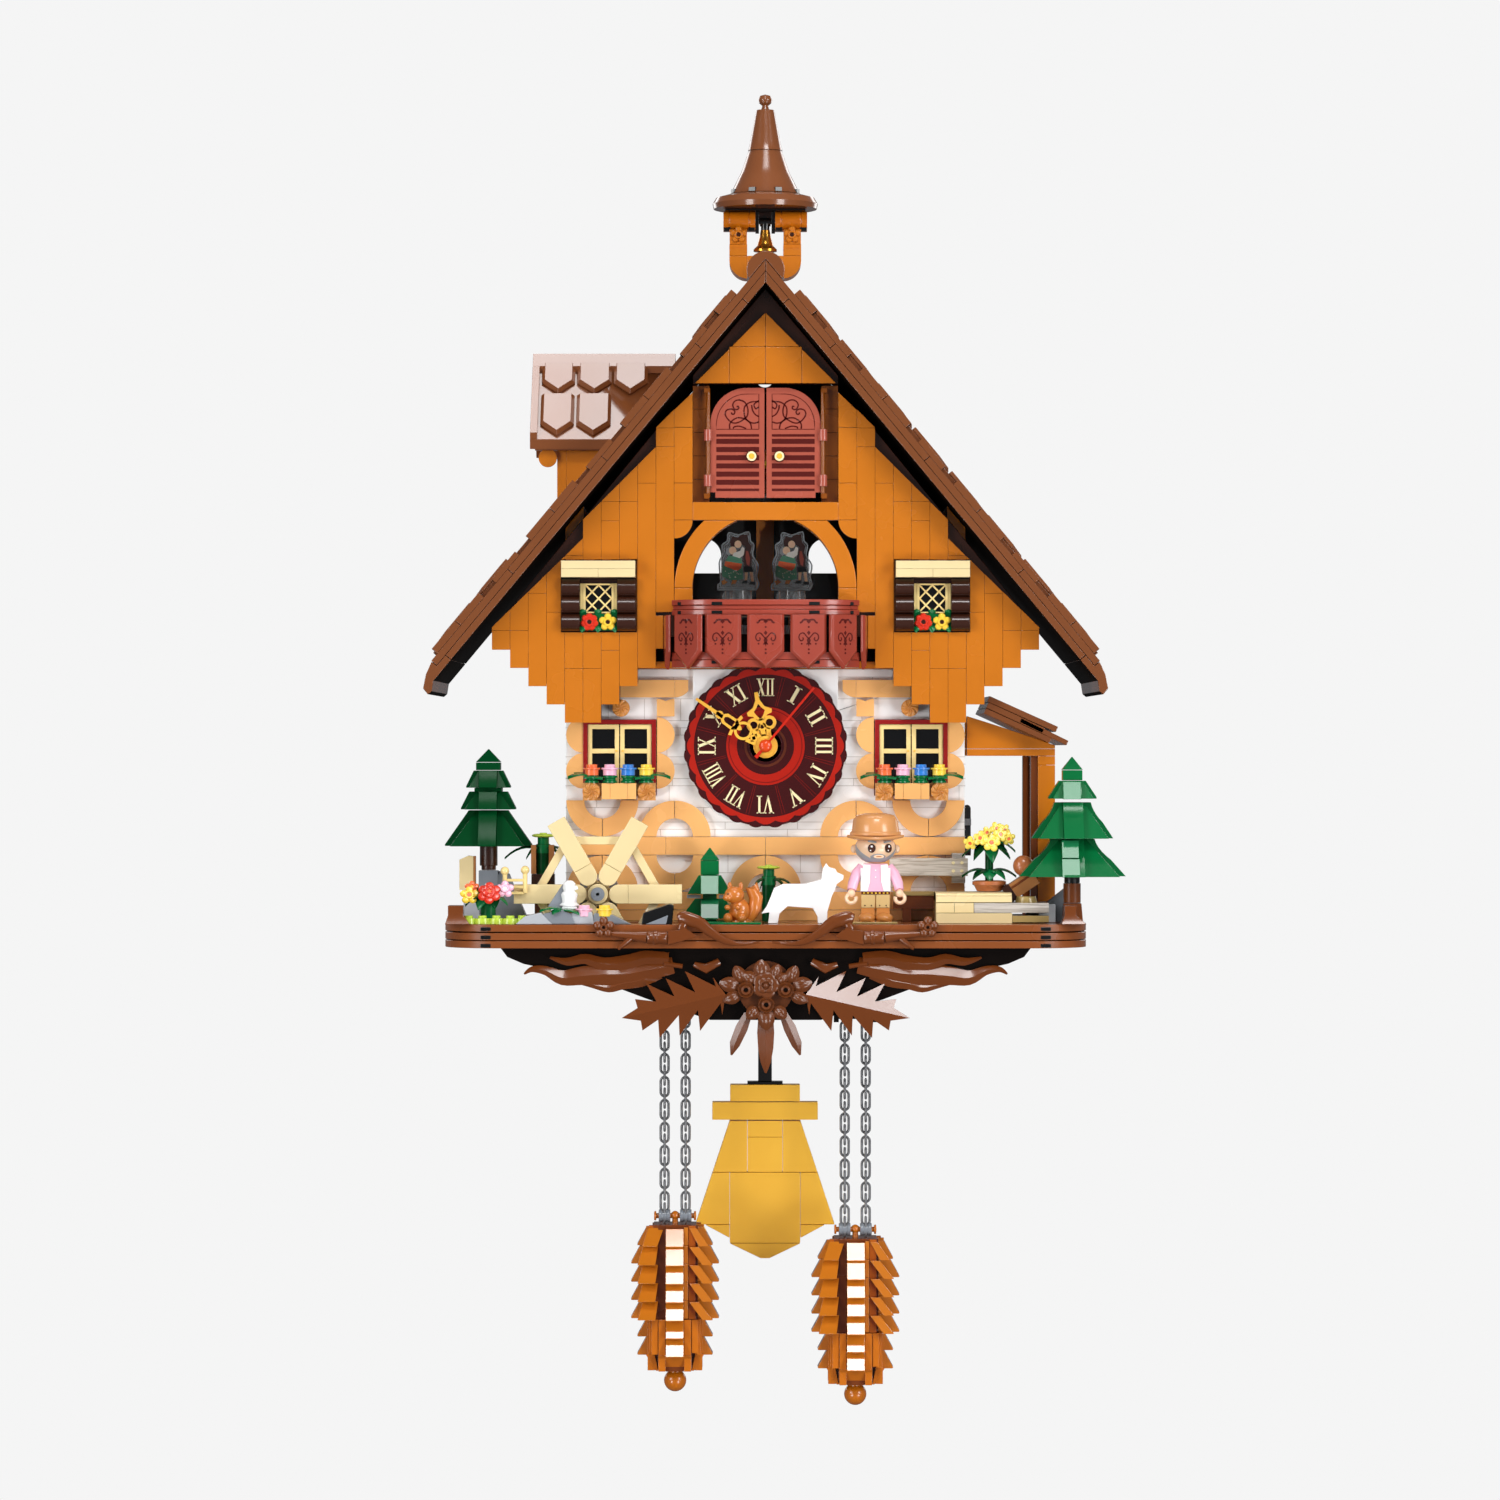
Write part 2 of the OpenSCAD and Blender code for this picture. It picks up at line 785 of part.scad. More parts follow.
module belfry_frame() {
    color(orange) {
        xz(belfry_y - 8, belfry_y + 8) difference() {
            hull() {
                both() translate([8, 48.2]) circle(r = 8);
                rect(-16, 49, 16, 50.2);
            }
            rect(-17, 50.2, 17, 70);
        }
        both() box([8.1, belfry_y - 4, 50.3], [16, belfry_y + 8, 62]);
        both() box([4.5, belfry_y + 4.4, 62.1], [18.7, belfry_y + 8, 70.6]);
    }
    color(brown) both() {
        rod_x(belfry_y, 66.5, 4.3, 4.5, 18.7);
        rod_y(11.8, 58, 3.7, belfry_y - 7, belfry_y - 4.1);
    }
    color(black) both() difference() {
        box([2.8, belfry_y - 1.6, 61], [4.4, belfry_y + 1.6, 70.6]);
        rod_x(belfry_y, 66, 1.06, -6, 6);
    }
    color(black) box([-18, belfry_y - 5, 70.8], [18, belfry_y + 8, 71.6]);
}

module spire() {
    color(brown) translate([0, belfry_y, 0]) {
        rotate_extrude() polygon([[0, 71.7], [23, 71.7], [23.5, 74], [22, 76.6],
                                  [16, 78.2], [0, 78.2]]);
        rotate_extrude() polygon([[0, 78.4], [15.6, 78.4], [10.8, 88], [7.4, 97.7],
                                  [0, 97.7]]);
        rotate_extrude() polygon([[0, 97.9], [7.7, 97.9], [7.2, 99.5], [4.05, 116],
                                  [0, 116]]);
        rotate_extrude() polygon([[0, 116.1], [2, 116.1], [1.4, 118], [2.8, 119.2],
                                  [3.1, 120.6], [2.4, 122.4], [0, 123.1]]);
    }
}

module bell() {
    color(gold) translate([0, belfry_y, 0]) difference() {
        union() {
            rotate_extrude() polygon([[0, 62.6], [2, 62.4], [2.6, 59], [3.6, 55.4],
                                      [5.2, 53.8], [5.2, 52.8], [4, 52.8], [2.6, 55.5],
                                      [1.6, 59.5], [0, 60]]);
            translate([0, 0, 62]) cylinder(r = 1.9, h = 4);
            rod_x(0, 66, 1.9, -2.4, 2.4);
            rod_x(0, 66, 1, -4.3, 4.3);
        }
        translate([0, 0, 52]) cylinder(r = 2.2, h = 3);
    }
}

// ---------- balcony ----------

bay = [[41, -104.3], [41, -114], [35, -121], [24, -125.6], [-24, -125.6], [-35, -121],
       [-41, -114], [-41, -104.3]];

module bay_plate(z0, z1) {
    translate([0, 0, z0]) linear_extrude(z1 - z0) polygon(bay);
}

module bay_ring(z0, z1) {
    difference() {
        bay_plate(z0, z1);
        translate([0, 0, z0 - 1]) linear_extrude(z1 - z0 + 2) intersection() {
            offset(delta = -6) polygon(bay);
            translate([-50, -130]) square([100, 25.6]);
        }
    }
}

module balcony() {
    color(red_brown) {
        bay_plate(-133.8, -127.2);
        bay_ring(-111, -108.6);
        bay_ring(-106.7, -104.3);
        for (p = [[-20, -122.4], [20, -122.4], [-36.6, -112], [36.6, -112]])
            translate([p[0], p[1], -127.1]) cylinder(r = 2.4, h = 16);
        for (p = [[-20, -122.4], [20, -122.4], [-36.6, -112], [36.6, -112]])
            translate([p[0], p[1], -108.5]) cylinder(r = 2.4, h = 1.7);
        for (p = [[0, -125.8, 0, 8], [18.4, -125.8, 7, 7.9], [-18.4, -125.8, -7, 7.9],
                  [33, -123.2, 40, 7.6], [-33, -123.2, -40, 7.6],
                  [41.6, -111.4, 84, 6], [-41.6, -111.4, -84, 6]])
            translate([p[0], p[1], 0]) rotate([0, 0, p[2]])
                xz(-2.5, -0.4) polygon([[-p[3], -111], [p[3], -111], [p[3], -127],
                                        [0, -134.7], [-p[3], -127]]);
    }
}

// ---------- side porch ----------

module side_porch() {
    color(orange) {
        xz(-88, -80) polygon([[88.1, -172.3], [127.8, -172.3], [127.8, -168.3],
                              [104, -160.2], [88.1, -160.2]]);
        box([120, -88, deck_z], [127.8, -80, -172.5]);
        xz(-20, -12) polygon([[88.1, -172.3], [127.8, -172.3], [127.8, -168.3],
                              [104, -160.2], [88.1, -160.2]]);
        box([120, -20, deck_z], [127.8, -12, -172.5]);
    }
    color(dark_brown) for (i = [0 : 3])
        xz(-96 + i * 22, -74.2 + i * 22)
            polygon([[93, -152], [97, -143.8], [101, -143.8], [129, -158.3],
                     [133.5, -166.2], [126, -167.4]]);
}

// ---------- deck furniture ----------

module wheel_stand() {
    color(grey) box([wheel_x - 8, -112.9, deck_z], [wheel_x + 8, -104.9, -227]);
    color(black) rod_y(wheel_x, wheel_z, 2, -126, -112.8);
    color(black) rod_y(wheel_x, wheel_z, 3, -126, wheel_y0 - 0.3);
}

module mill_wheel() {
    color(cream) difference() {
        translate([wheel_x, 0, wheel_z]) {
            for (i = [0 : 5])
                xz(wheel_y0, wheel_y0 + 3.9) rotate(i * 60) hull() {
                    translate([6, 0]) circle(r = 2.6);
                    translate([wheel_r - 1.3, -4.2]) square([1.2, 8.4]);
                    translate([11, -4.2]) square([4, 8.4]);
                }
            xz(wheel_y0, wheel_y1) circle(r = 4.3);
            xz(wheel_y0 + 4, wheel_y1) difference() {
                rotate(30) circle(r = 29, $fn = 6);
                rotate(30) circle(r = 24.6, $fn = 6);
            }
            for (i = [0 : 5])
                xz(wheel_y0 + 4, wheel_y1) rotate(i * 60) translate([4, -2])
                    square([20, 4]);
        }
        rod_y(wheel_x, wheel_z, 2.06, -140, -100);
    }
}

module tier(x, y, z0, z1, r0, r1) {
    translate([x, y, z0]) rotate([0, 0, 45])
        cylinder(r1 = r0 * sqrt(2), r2 = r1 * sqrt(2), h = z1 - z0, $fn = 4);
}

module fir_trees() {
    color(brown) {
        translate([-121.4, -104, deck_z]) cylinder(r = 3.7, h = 33);
        translate([133.7, -116, deck_z]) cylinder(r = 3.7, h = 20);
    }
    color(green) {
        tier(-121.4, -104, -211.9, -196, 17.5, 9);
        tier(-121.4, -104, -195.8, -186.5, 11.5, 8);
        tier(-121.4, -104, -186.3, -178.6, 9.2, 6.5);
        tier(-121.4, -104, -178.4, -169.3, 5.4, 0.3);
        tier(133.7, -116, -224.8, -208.4, 23.2, 11);
        tier(133.7, -116, -208.2, -192.3, 17.8, 8);
        tier(133.7, -116, -192.1, -180, 10.5, 4.6);
        tier(133.7, -116, -179.8, -172.7, 4.4, 0.3);
        tier(-24.4, -106, -244.9, -225, 10, 5);
        tier(-24.4, -106, -224.8, -212.5, 4.2, 0.3);
    }
}

module rocks() {
    color(grey) {
        xz(-143, -126) polygon([[-108, deck_z], [-60, deck_z], [-70, -239], [-84, -237],
                                [-100, -239]]);
        xz(-100, -93) polygon([[-130, deck_z], [-112, deck_z], [-118, -222],
                               [-128, -228]]);
    }
    color(black) xz(-142, -127) polygon([[-54, deck_z], [-40, deck_z], [-40, -239],
                                         [-48, -239]]);
}

module plants() {
    color(green) {
        box([-130, -134, deck_z], [-113, -120, -236]);
        translate([-97, -105, deck_z]) cylinder(r = 4, h = 36);
        translate([1, -104, deck_z]) cylinder(r = 3, h = 24);
        translate([98, -106, deck_z + 17.6]) cylinder(r = 9, h = 24);
    }
    color(brown) translate([98, -106, deck_z + 13.4]) cylinder(r = 6.6, h = 4.1);
}

module bench_steps() {
    color(cream) {
        box([74, -128, deck_z], [123, -98, -240.6]);
        box([74, -124, -240.5], [115, -98, -236.2]);
        box([74, -120, -236.1], [107, -98, -231.8]);
    }
    color(grey) box([54.5, -97.5, -225.2], [89, -94.5, -217.4]);
    color(brown) box([56, -97.9, -236], [73.8, -92, -232]);
    color(brown) box([60, -97.9, deck_z], [64, -92, -236.1]);
}

man_x = 47.7;
man_y = -124;
module man() {
    color(tan_brick) {
        both_at(man_x) translate([3.4, man_y, deck_z]) cylinder(r = 3, h = 13.4);
        translate([man_x, man_y, -231.5]) cylinder(r = 6.4, h = 12.4);
        translate([man_x, man_y, -219]) cylinder(r = 8.6, h = 11.9);
        translate([man_x, man_y, -207]) cylinder(r = 12.6, h = 3);
        translate([man_x, man_y, -203.9]) cylinder(r = 9.6, h = 7);
        both_at(man_x) translate([9.8, man_y - 1, -232]) cylinder(r = 2.6, h = 12);
    }
}

// the same children on both sides of a plane at x
module both_at(x) {
    translate([x, 0, 0]) both() children();
}

module animals() {
    color(brown) {
        translate([-11, -128, deck_z]) cylinder(r1 = 6, r2 = 4, h = 10);
        translate([-12, -129, deck_z + 10.1]) cylinder(r = 4, h = 6.6);
    }
    color(white) xz(-131, -125)
        polygon([[1, deck_z], [5, deck_z], [9, -237], [22, -238], [24, deck_z],
                 [28, deck_z], [28, -233], [32, -223], [27, -219.4], [21, -229],
                 [4, -231], [-2, -240]]);
    color(white) translate([-85, -134, -237]) cylinder(r = 4, h = 11);
}

// ---------- carved ornaments ----------

module deck_antlers() {
    color(brown) both() xz(-148.4, -deck_d - 0.2) {
        translate([69.8, -246.2]) circle(r = 4.6);
        polygon([[30, -242], [42, -247], [66, -246], [66, -250], [51, -253.4],
                 [42, -254], [30, -252]]);
        polygon([[29.8, -252], [37.3, -242], [30.8, -240.4], [23, -244.8],
                 [14.7, -250], [2.8, -251.6], [3, -254], [15, -254.5], [24, -251]]);
    }
}

module keel_leaves() {
    y0 = -138;
    y1 = -132.1;
    color(brown) {
        both() {
            xz(y0, y1) polygon([[17.4, -269], [35, -265.4], [36, -271], [43.2, -268.6],
                                [52.2, -271], [56.9, -277.6], [62, -285.8],
                                [53.4, -290.5], [46, -292], [37.3, -291], [28.3, -290],
                                [17.4, -282]]);
            xz(y0, y1) polygon([[40, -258], [62, -258.5], [75, -262.5], [92, -262.5],
                                [104.6, -264.4], [104.6, -267.2], [90, -266.5],
                                [81, -272], [62, -269], [46, -268.2], [40, -266]]);
            xz(y0, y1) polygon([[7, -285], [13, -283], [16, -293], [14.7, -301.7],
                                [10, -296]]);
        }
        xz(y0, y1) translate([0, -271.3]) circle(r = 15.5);
        xz(y0, y1) polygon([[-3.7, -287.4], [3.7, -287.4], [3.4, -300], [0, -309.6],
                            [-3.4, -300]]);
    }
}

// ---------- pendulum ----------

module pendulum_rod() {
    color(black) difference() {
        union() {
            rod_y(0, pend_z, 5.5, pend_y0 + 1, pend_y1);
            box([-3.1, pend_y0 + 1, -321.2], [3.1, pend_y1 - 1, pend_z]);
            box([-8, pend_y0, -321.3], [8, pend_y1, -320]);
        }
        rod_y(0, pend_z, 2.06, -40, -10);
    }
}

module pendulum_bob() {
    y0 = pend_y0 - 1;
    y1 = pend_y1 + 1;
    color(gold) {
        box([-15.8, y0, -328.9], [15.8, y1, -321.4]);
        box([-23.9, y0, -337.2], [23.9, y1, -329.3]);
        xz(y0, y1) {
            rect(-7.93, -345, 7.93, -337.7);
            rect(-7.93, -360.9, 7.93, -345.1);
            for (s = [-1, 1])
                polygon([[s * 8.07, -337.7], [s * 16, -337.7], [s * 23.7, -360.9],
                         [s * 8.07, -360.9]]);
            for (s = [-1, 1])
                polygon([[s * 16.07, -361.1], [s * 23.8, -361.1], [s * 31.5, -384.6],
                         [s * 16.07, -384.6]]);
            polygon([[-15.93, -361.1], [15.93, -361.1], [15.93, -393], [-15.93, -393]]);
            for (s = [-1, 1])
                polygon([[s * 16.07, -384.8], [s * 27, -384.8], [s * 16.07, -390.7]]);
            polygon([[-15.93, -393.2], [15.93, -393.2], [2, -399.9], [-2, -399.9]]);
        }
    }
}

// ---------- chains and pine cones ----------

link_pitch = 5.14;
link_l = 7.5;
link_w = 4.8;
wire = 1;

module link() {
    linear_extrude(wire, center = true) difference() {
        hull() for (s = [-1, 1])
            translate([0, s * (link_l - link_w) / 2]) circle(r = link_w / 2, $fn = 16);
        hull() for (s = [-1, 1])
            translate([0, s * (link_l - link_w) / 2])
                circle(r = link_w / 2 - wire, $fn = 16);
    }
}

module chain(x, drop) {
    color(grey) for (s = [-1, 1], i = [0 : links - 1])
        translate([x + s * strand, chain_y, pin_z - 1.45 - drop - i * link_pitch])
            rotate([0, 0, i % 2 == 0 ? 90 : 0]) rotate([90, 0, 0]) link();
}

module left_chain() {
    chain(-chain_x, 0);
}

module right_chain() {
    chain(chain_x, right_drop);
}

// pine cone hanging under its cross bar; drop is how far the bar hangs lower
cone_rows = [[0, 17.5], [8.2, 18.6], [16.4, 19.6], [24.6, 19.6], [32.8, 19],
             [41, 16.7], [49.2, 14.6]];
module cone(x, drop) {
    translate([x, chain_y, -drop]) {
        color(orange) {
            rod_x(0, -378.2, 1.15, -9.4, 9.4);
            translate([0, 0, -380.9]) cylinder(r = 2.6, h = 5);
            translate([0, 0, -446.8]) cylinder(r = 8, h = 65.8);
            rotate_extrude() polygon([[0, -446.9], [2.6, -446.9], [4.6, -449.5],
                                      [4.9, -451.6], [4.3, -454], [2.4, -456], [0, -456.5]]);
        }
        color(orange) for (c = cone_rows)
            difference() {
                translate([0, 0, -381.4 - c[0] - 8]) rotate([0, 0, 22.5])
                    cylinder(r1 = c[1], r2 = c[1] - 6, h = 8, $fn = 8);
                translate([0, 0, -450]) cylinder(r = 8.1, h = 90);
            }
    }
}

module left_cone() {
    cone(-chain_x, 0);
}

module right_cone() {
    cone(chain_x, right_drop);
}

back_panel();
deck_plates();
keel();
front_wall();
side_walls();
upper_floor();
gable_backing();
gable_left();
gable_right();
gable_centre();
arch();
cuckoo_jambs();
roof_left();
roof_right();
ridge_cap();
dormer_walls();
dormer_roof();
belfry_frame();
spire();
cuckoo_rails();
balcony();
sun_gear();
dial();
movement_case();
battery();
wall_trim();
lower_windows();
flower_boxes();
upper_windows();
side_porch();
gear_posts();
wheel_stand();
fir_trees();
rocks();
plants();
bench_steps();
man();
animals();
deck_antlers();
keel_leaves();
bell();
left_door();
right_door();
cuckoo_bird();
cuckoo_carriage();
carousel();
crown_gear();
left_dancers();
right_dancers();
crank();
hour_hand();
minute_hand();
second_hand();
mill_wheel();
pendulum_rod();
pendulum_bob();
left_chain();
right_chain();
left_cone();
right_cone();
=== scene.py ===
import math
import random

import bmesh
import bpy
from mathutils import Matrix, Vector


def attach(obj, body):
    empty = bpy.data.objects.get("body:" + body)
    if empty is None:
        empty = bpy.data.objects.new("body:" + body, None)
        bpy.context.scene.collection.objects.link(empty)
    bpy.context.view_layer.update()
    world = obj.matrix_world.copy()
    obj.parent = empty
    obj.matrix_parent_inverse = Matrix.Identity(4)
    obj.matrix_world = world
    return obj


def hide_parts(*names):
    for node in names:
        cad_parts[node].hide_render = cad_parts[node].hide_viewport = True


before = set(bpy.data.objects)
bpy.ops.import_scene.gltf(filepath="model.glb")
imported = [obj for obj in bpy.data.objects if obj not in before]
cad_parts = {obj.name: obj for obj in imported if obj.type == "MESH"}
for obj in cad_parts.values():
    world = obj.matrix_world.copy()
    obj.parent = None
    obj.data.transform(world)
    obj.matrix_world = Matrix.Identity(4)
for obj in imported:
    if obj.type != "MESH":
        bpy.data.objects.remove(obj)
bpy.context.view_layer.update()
random.seed(7)
MM = 0.001
PI = math.pi


# ---------------------------------------------------------------- materials

def linear(c):
    """sRGB 0-255 to linear."""
    return tuple((v / 255 / 12.92) if v / 255 <= 0.04045 else ((v / 255 + 0.055) / 1.055) ** 2.4 for v in c)


def plastic(name, rgb, rough=0.26, coat=0.3, metal=0.0, alpha=1.0, trans=0.0, grain=0.05, vary=0.035,
            spec=0.5):
    """Moulded plastic: a slight colour and gloss variation from noise, and a very fine surface ripple."""
    m = bpy.data.materials.new(name)
    m.use_nodes = True
    nt = m.node_tree
    b = nt.nodes["Principled BSDF"]
    base = linear(rgb)
    b.inputs["Base Color"].default_value = (*base, 1)
    b.inputs["Roughness"].default_value = rough
    b.inputs["Metallic"].default_value = metal
    b.inputs["Coat Weight"].default_value = coat
    b.inputs["Coat Roughness"].default_value = 0.05
    b.inputs["Specular IOR Level"].default_value = spec
    b.inputs["Alpha"].default_value = alpha
    b.inputs["Transmission Weight"].default_value = trans
    tex = nt.nodes.new("ShaderNodeTexCoord")
    if grain:
        noise = nt.nodes.new("ShaderNodeTexNoise")
        noise.inputs["Scale"].default_value = 260.0
        noise.inputs["Detail"].default_value = 2.0
        bump = nt.nodes.new("ShaderNodeBump")
        bump.inputs["Strength"].default_value = grain
        bump.inputs["Distance"].default_value = 0.0004
        nt.links.new(tex.outputs["Object"], noise.inputs["Vector"])
        nt.links.new(noise.outputs["Fac"], bump.inputs["Height"])
        nt.links.new(bump.outputs["Normal"], b.inputs["Normal"])
    if vary:
        broad = nt.nodes.new("ShaderNodeTexNoise")
        broad.inputs["Scale"].default_value = 34.0
        broad.inputs["Detail"].default_value = 3.0
        nt.links.new(tex.outputs["Object"], broad.inputs["Vector"])
        ramp = nt.nodes.new("ShaderNodeValToRGB")
        low, high = ramp.color_ramp.elements
        low.position, high.position = 0.36, 0.66
        low.color = (*[c * (1 - vary) for c in base], 1)
        high.color = (*[min(1, c * (1 + vary)) for c in base], 1)
        nt.links.new(broad.outputs["Fac"], ramp.inputs["Fac"])
        nt.links.new(ramp.outputs["Color"], b.inputs["Base Color"])
        gloss = nt.nodes.new("ShaderNodeMapRange")
        gloss.inputs["From Min"].default_value = 0.3
        gloss.inputs["From Max"].default_value = 0.7
        gloss.inputs["To Min"].default_value = max(0.03, rough - 0.03)
        gloss.inputs["To Max"].default_value = rough + 0.03
        nt.links.new(broad.outputs["Fac"], gloss.inputs["Value"])
        nt.links.new(gloss.outputs["Result"], b.inputs["Roughness"])
    m.diffuse_color = (*base, 1)
    return m


def wood_grain(name, rgb, dark, scale=(9, 9, 160)):
    """A printed plank: streaks of grain that wander along X."""
    m = plastic(name, rgb, vary=0)
    nt = m.node_tree
    b = nt.nodes["Principled BSDF"]
    tex = nt.nodes.new("ShaderNodeTexCoord")
    mapping = nt.nodes.new("ShaderNodeMapping")
    mapping.inputs["Scale"].default_value = scale
    noise = nt.nodes.new("ShaderNodeTexNoise")
    noise.inputs["Scale"].default_value = 5.0
    noise.inputs["Detail"].default_value = 5.0
    noise.inputs["Distortion"].default_value = 1.2
    ramp = nt.nodes.new("ShaderNodeValToRGB")
    low, high = ramp.color_ramp.elements
    low.position, high.position = 0.38, 0.56
    low.color, high.color = (*linear(dark), 1), (*linear(rgb), 1)
    nt.links.new(tex.outputs["Object"], mapping.inputs["Vector"])
    nt.links.new(mapping.outputs["Vector"], noise.inputs["Vector"])
    nt.links.new(noise.outputs["Fac"], ramp.inputs["Fac"])
    nt.links.new(ramp.outputs["Color"], b.inputs["Base Color"])
    return m


MAT = {
    "orange": plastic("orange_brick", (197, 112, 18)),
    "rosette": plastic("golden_rosette", (206, 138, 66), rough=0.3),
    "amber": plastic("amber_brick", (196, 106, 12)),
    "tan": plastic("tan_brick", (242, 180, 110)),
    "cream": plastic("cream_brick", (234, 212, 160)),
    "yellowish": plastic("yellow_cream", (242, 214, 144)),
    "brown": plastic("brown_brick", (112, 56, 20), rough=0.2),
    "petal": plastic("brown_petal", (104, 54, 24), rough=0.26, coat=0.2, spec=0.4),
    "deck": plastic("deck_brick", (136, 72, 30)),
    "jamb": plastic("jamb_brick", (136, 70, 8)),
    "roof": plastic("roof_brick", (120, 68, 36), rough=0.2),
    "dark_brown": plastic("dark_brown_brick", (54, 24, 12)),
    "dusty": plastic("dusty_red_brick", (152, 60, 44)),
    "door": plastic("dusty_red_door", (172, 84, 66)),
    "dusty_dark": plastic("dusty_red_print", (84, 18, 12)),
    "white": plastic("white_brick", (250, 250, 250)),
    "black": plastic("black_brick", (9, 9, 10)),
    "grey": plastic("grey_brick", (128, 134, 142)),
    "light_grey": plastic("light_grey_brick", (176, 180, 186)),
    "chain": plastic("grey_plastic_chain", (112, 113, 116)),
    "green": plastic("green_brick", (6, 104, 54), rough=0.2, coat=0.06, spec=0.3),
    "dark_green": plastic("dark_green_brick", (2, 62, 28), rough=0.2, coat=0.0, spec=0.15),
    # partly painted highlight: a lighter green than the boughs, partly standing for the sheen on the front slope tiles
    "green_with_painted_sheen": plastic("green_tile_partly_painted_sheen", (30, 122, 76), rough=0.12, coat=0.9),
    "lime": plastic("lime_brick", (186, 212, 70)),
    "gold": plastic("gold_plastic", (254, 192, 62), rough=0.34),
    "hand": plastic("gold_hand", (252, 190, 68), rough=0.3),
    "hub": plastic("gold_nut", (226, 160, 44), rough=0.2, metal=0.9, coat=0.0),
    "brass": plastic("brass", (196, 138, 50), rough=0.22, metal=0.9, coat=0.0),
    "second": plastic("red_metal", (206, 38, 16)),
    "boss": plastic("red_boss", (224, 72, 22)),
    "maroon": plastic("dial_maroon", (62, 10, 12), rough=0.22),
    "dial_edge": plastic("dial_edge", (92, 10, 10), rough=0.22),
    "dial_red": plastic("dial_red", (172, 28, 12), rough=0.22),
    "dial_mid": plastic("dial_mid", (118, 16, 10), rough=0.22),
    "dial_brown": plastic("dial_brown", (90, 40, 22), rough=0.22),
    "numeral": plastic("numeral_cream", (246, 232, 182), rough=0.35),
    "red_frame": plastic("window_red", (146, 18, 18)),
    "red": plastic("flower_red", (216, 48, 24)),
    "coral": plastic("flower_coral", (236, 110, 58)),
    "pink": plastic("flower_pink", (244, 184, 208)),
    "blue": plastic("flower_blue", (44, 124, 208)),
    "yellow": plastic("flower_yellow", (248, 208, 66)),
    "bright_yellow": plastic("bright_yellow", (250, 226, 92)),
    "skin": plastic("skin", (248, 208, 172)),
    "beard": plastic("beard", (160, 164, 170)),
    "hat": plastic("hat", (214, 150, 92)),
    "trousers": plastic("trousers", (214, 180, 122)),
    "boots": plastic("boots", (208, 136, 70)),
    "eye": plastic("eye", (72, 34, 22)),
    "squirrel": plastic("squirrel", (202, 116, 44)),
    "terracotta": plastic("terracotta", (190, 112, 66)),
    "sage": wood_grain("worn_grey_wood", (206, 200, 192), (168, 160, 150)),
    "clear": plastic("clear_plastic", (240, 244, 246), rough=0.05, trans=0.92, coat=0.0, grain=0, vary=0),
    "clear_edge": plastic("clear_plastic_edge", (176, 184, 190), rough=0.2, coat=0.5),
    "scale": plastic("cone_scale", (196, 112, 26), rough=0.12, coat=0.9),
    "glass": plastic("dark_glass", (10, 10, 12), rough=0.08, grain=0, vary=0),
    "steel": plastic("battery_steel", (170, 140, 70), rough=0.3, metal=0.8),
    "skirt": plastic("dress_green", (92, 160, 128)),
    "sash": plastic("sash_red", (246, 106, 52)),
    "sleeve": plastic("sleeve", (252, 250, 240)),
    "art_skin": plastic("printed_skin", (255, 214, 176)),
    "art_vest": plastic("printed_vest", (168, 70, 52)),
    "hair": plastic("hair", (64, 30, 24)),
    "amber_dark": plastic("amber_shade", (120, 56, 12)),
    # painted half shade: a dimmer copy of the cone amber
    "amber_half_shade": plastic("amber_painted_half_shade", (176, 86, 8)),
    # painted shade: a dark amber for the recess beside the cone scales
    "amber_shade_strip": plastic("amber_painted_recess_shade", (104, 46, 6)),
    "tan_dark": plastic("tan_shade", (168, 110, 60)),
    "sand": plastic("sand_brick", (176, 150, 92)),
    "keel": plastic("keel_brick", (16, 9, 6), coat=0.0, spec=0.2),
    # painted shade: a near-black matt colour for the roof undersides
    "eave": plastic("eave_underside", (14, 8, 5), rough=0.75, coat=0.0, spec=0.02),
    "charcoal": plastic("charcoal_plastic", (52, 56, 62)),
    "joint": plastic("white_joint", (196, 192, 188), coat=0.0, vary=0),
    "wood_print": wood_grain("worn_wood", (212, 204, 192), (170, 158, 142)),
}


# ---------------------------------------------------------------- building pieces

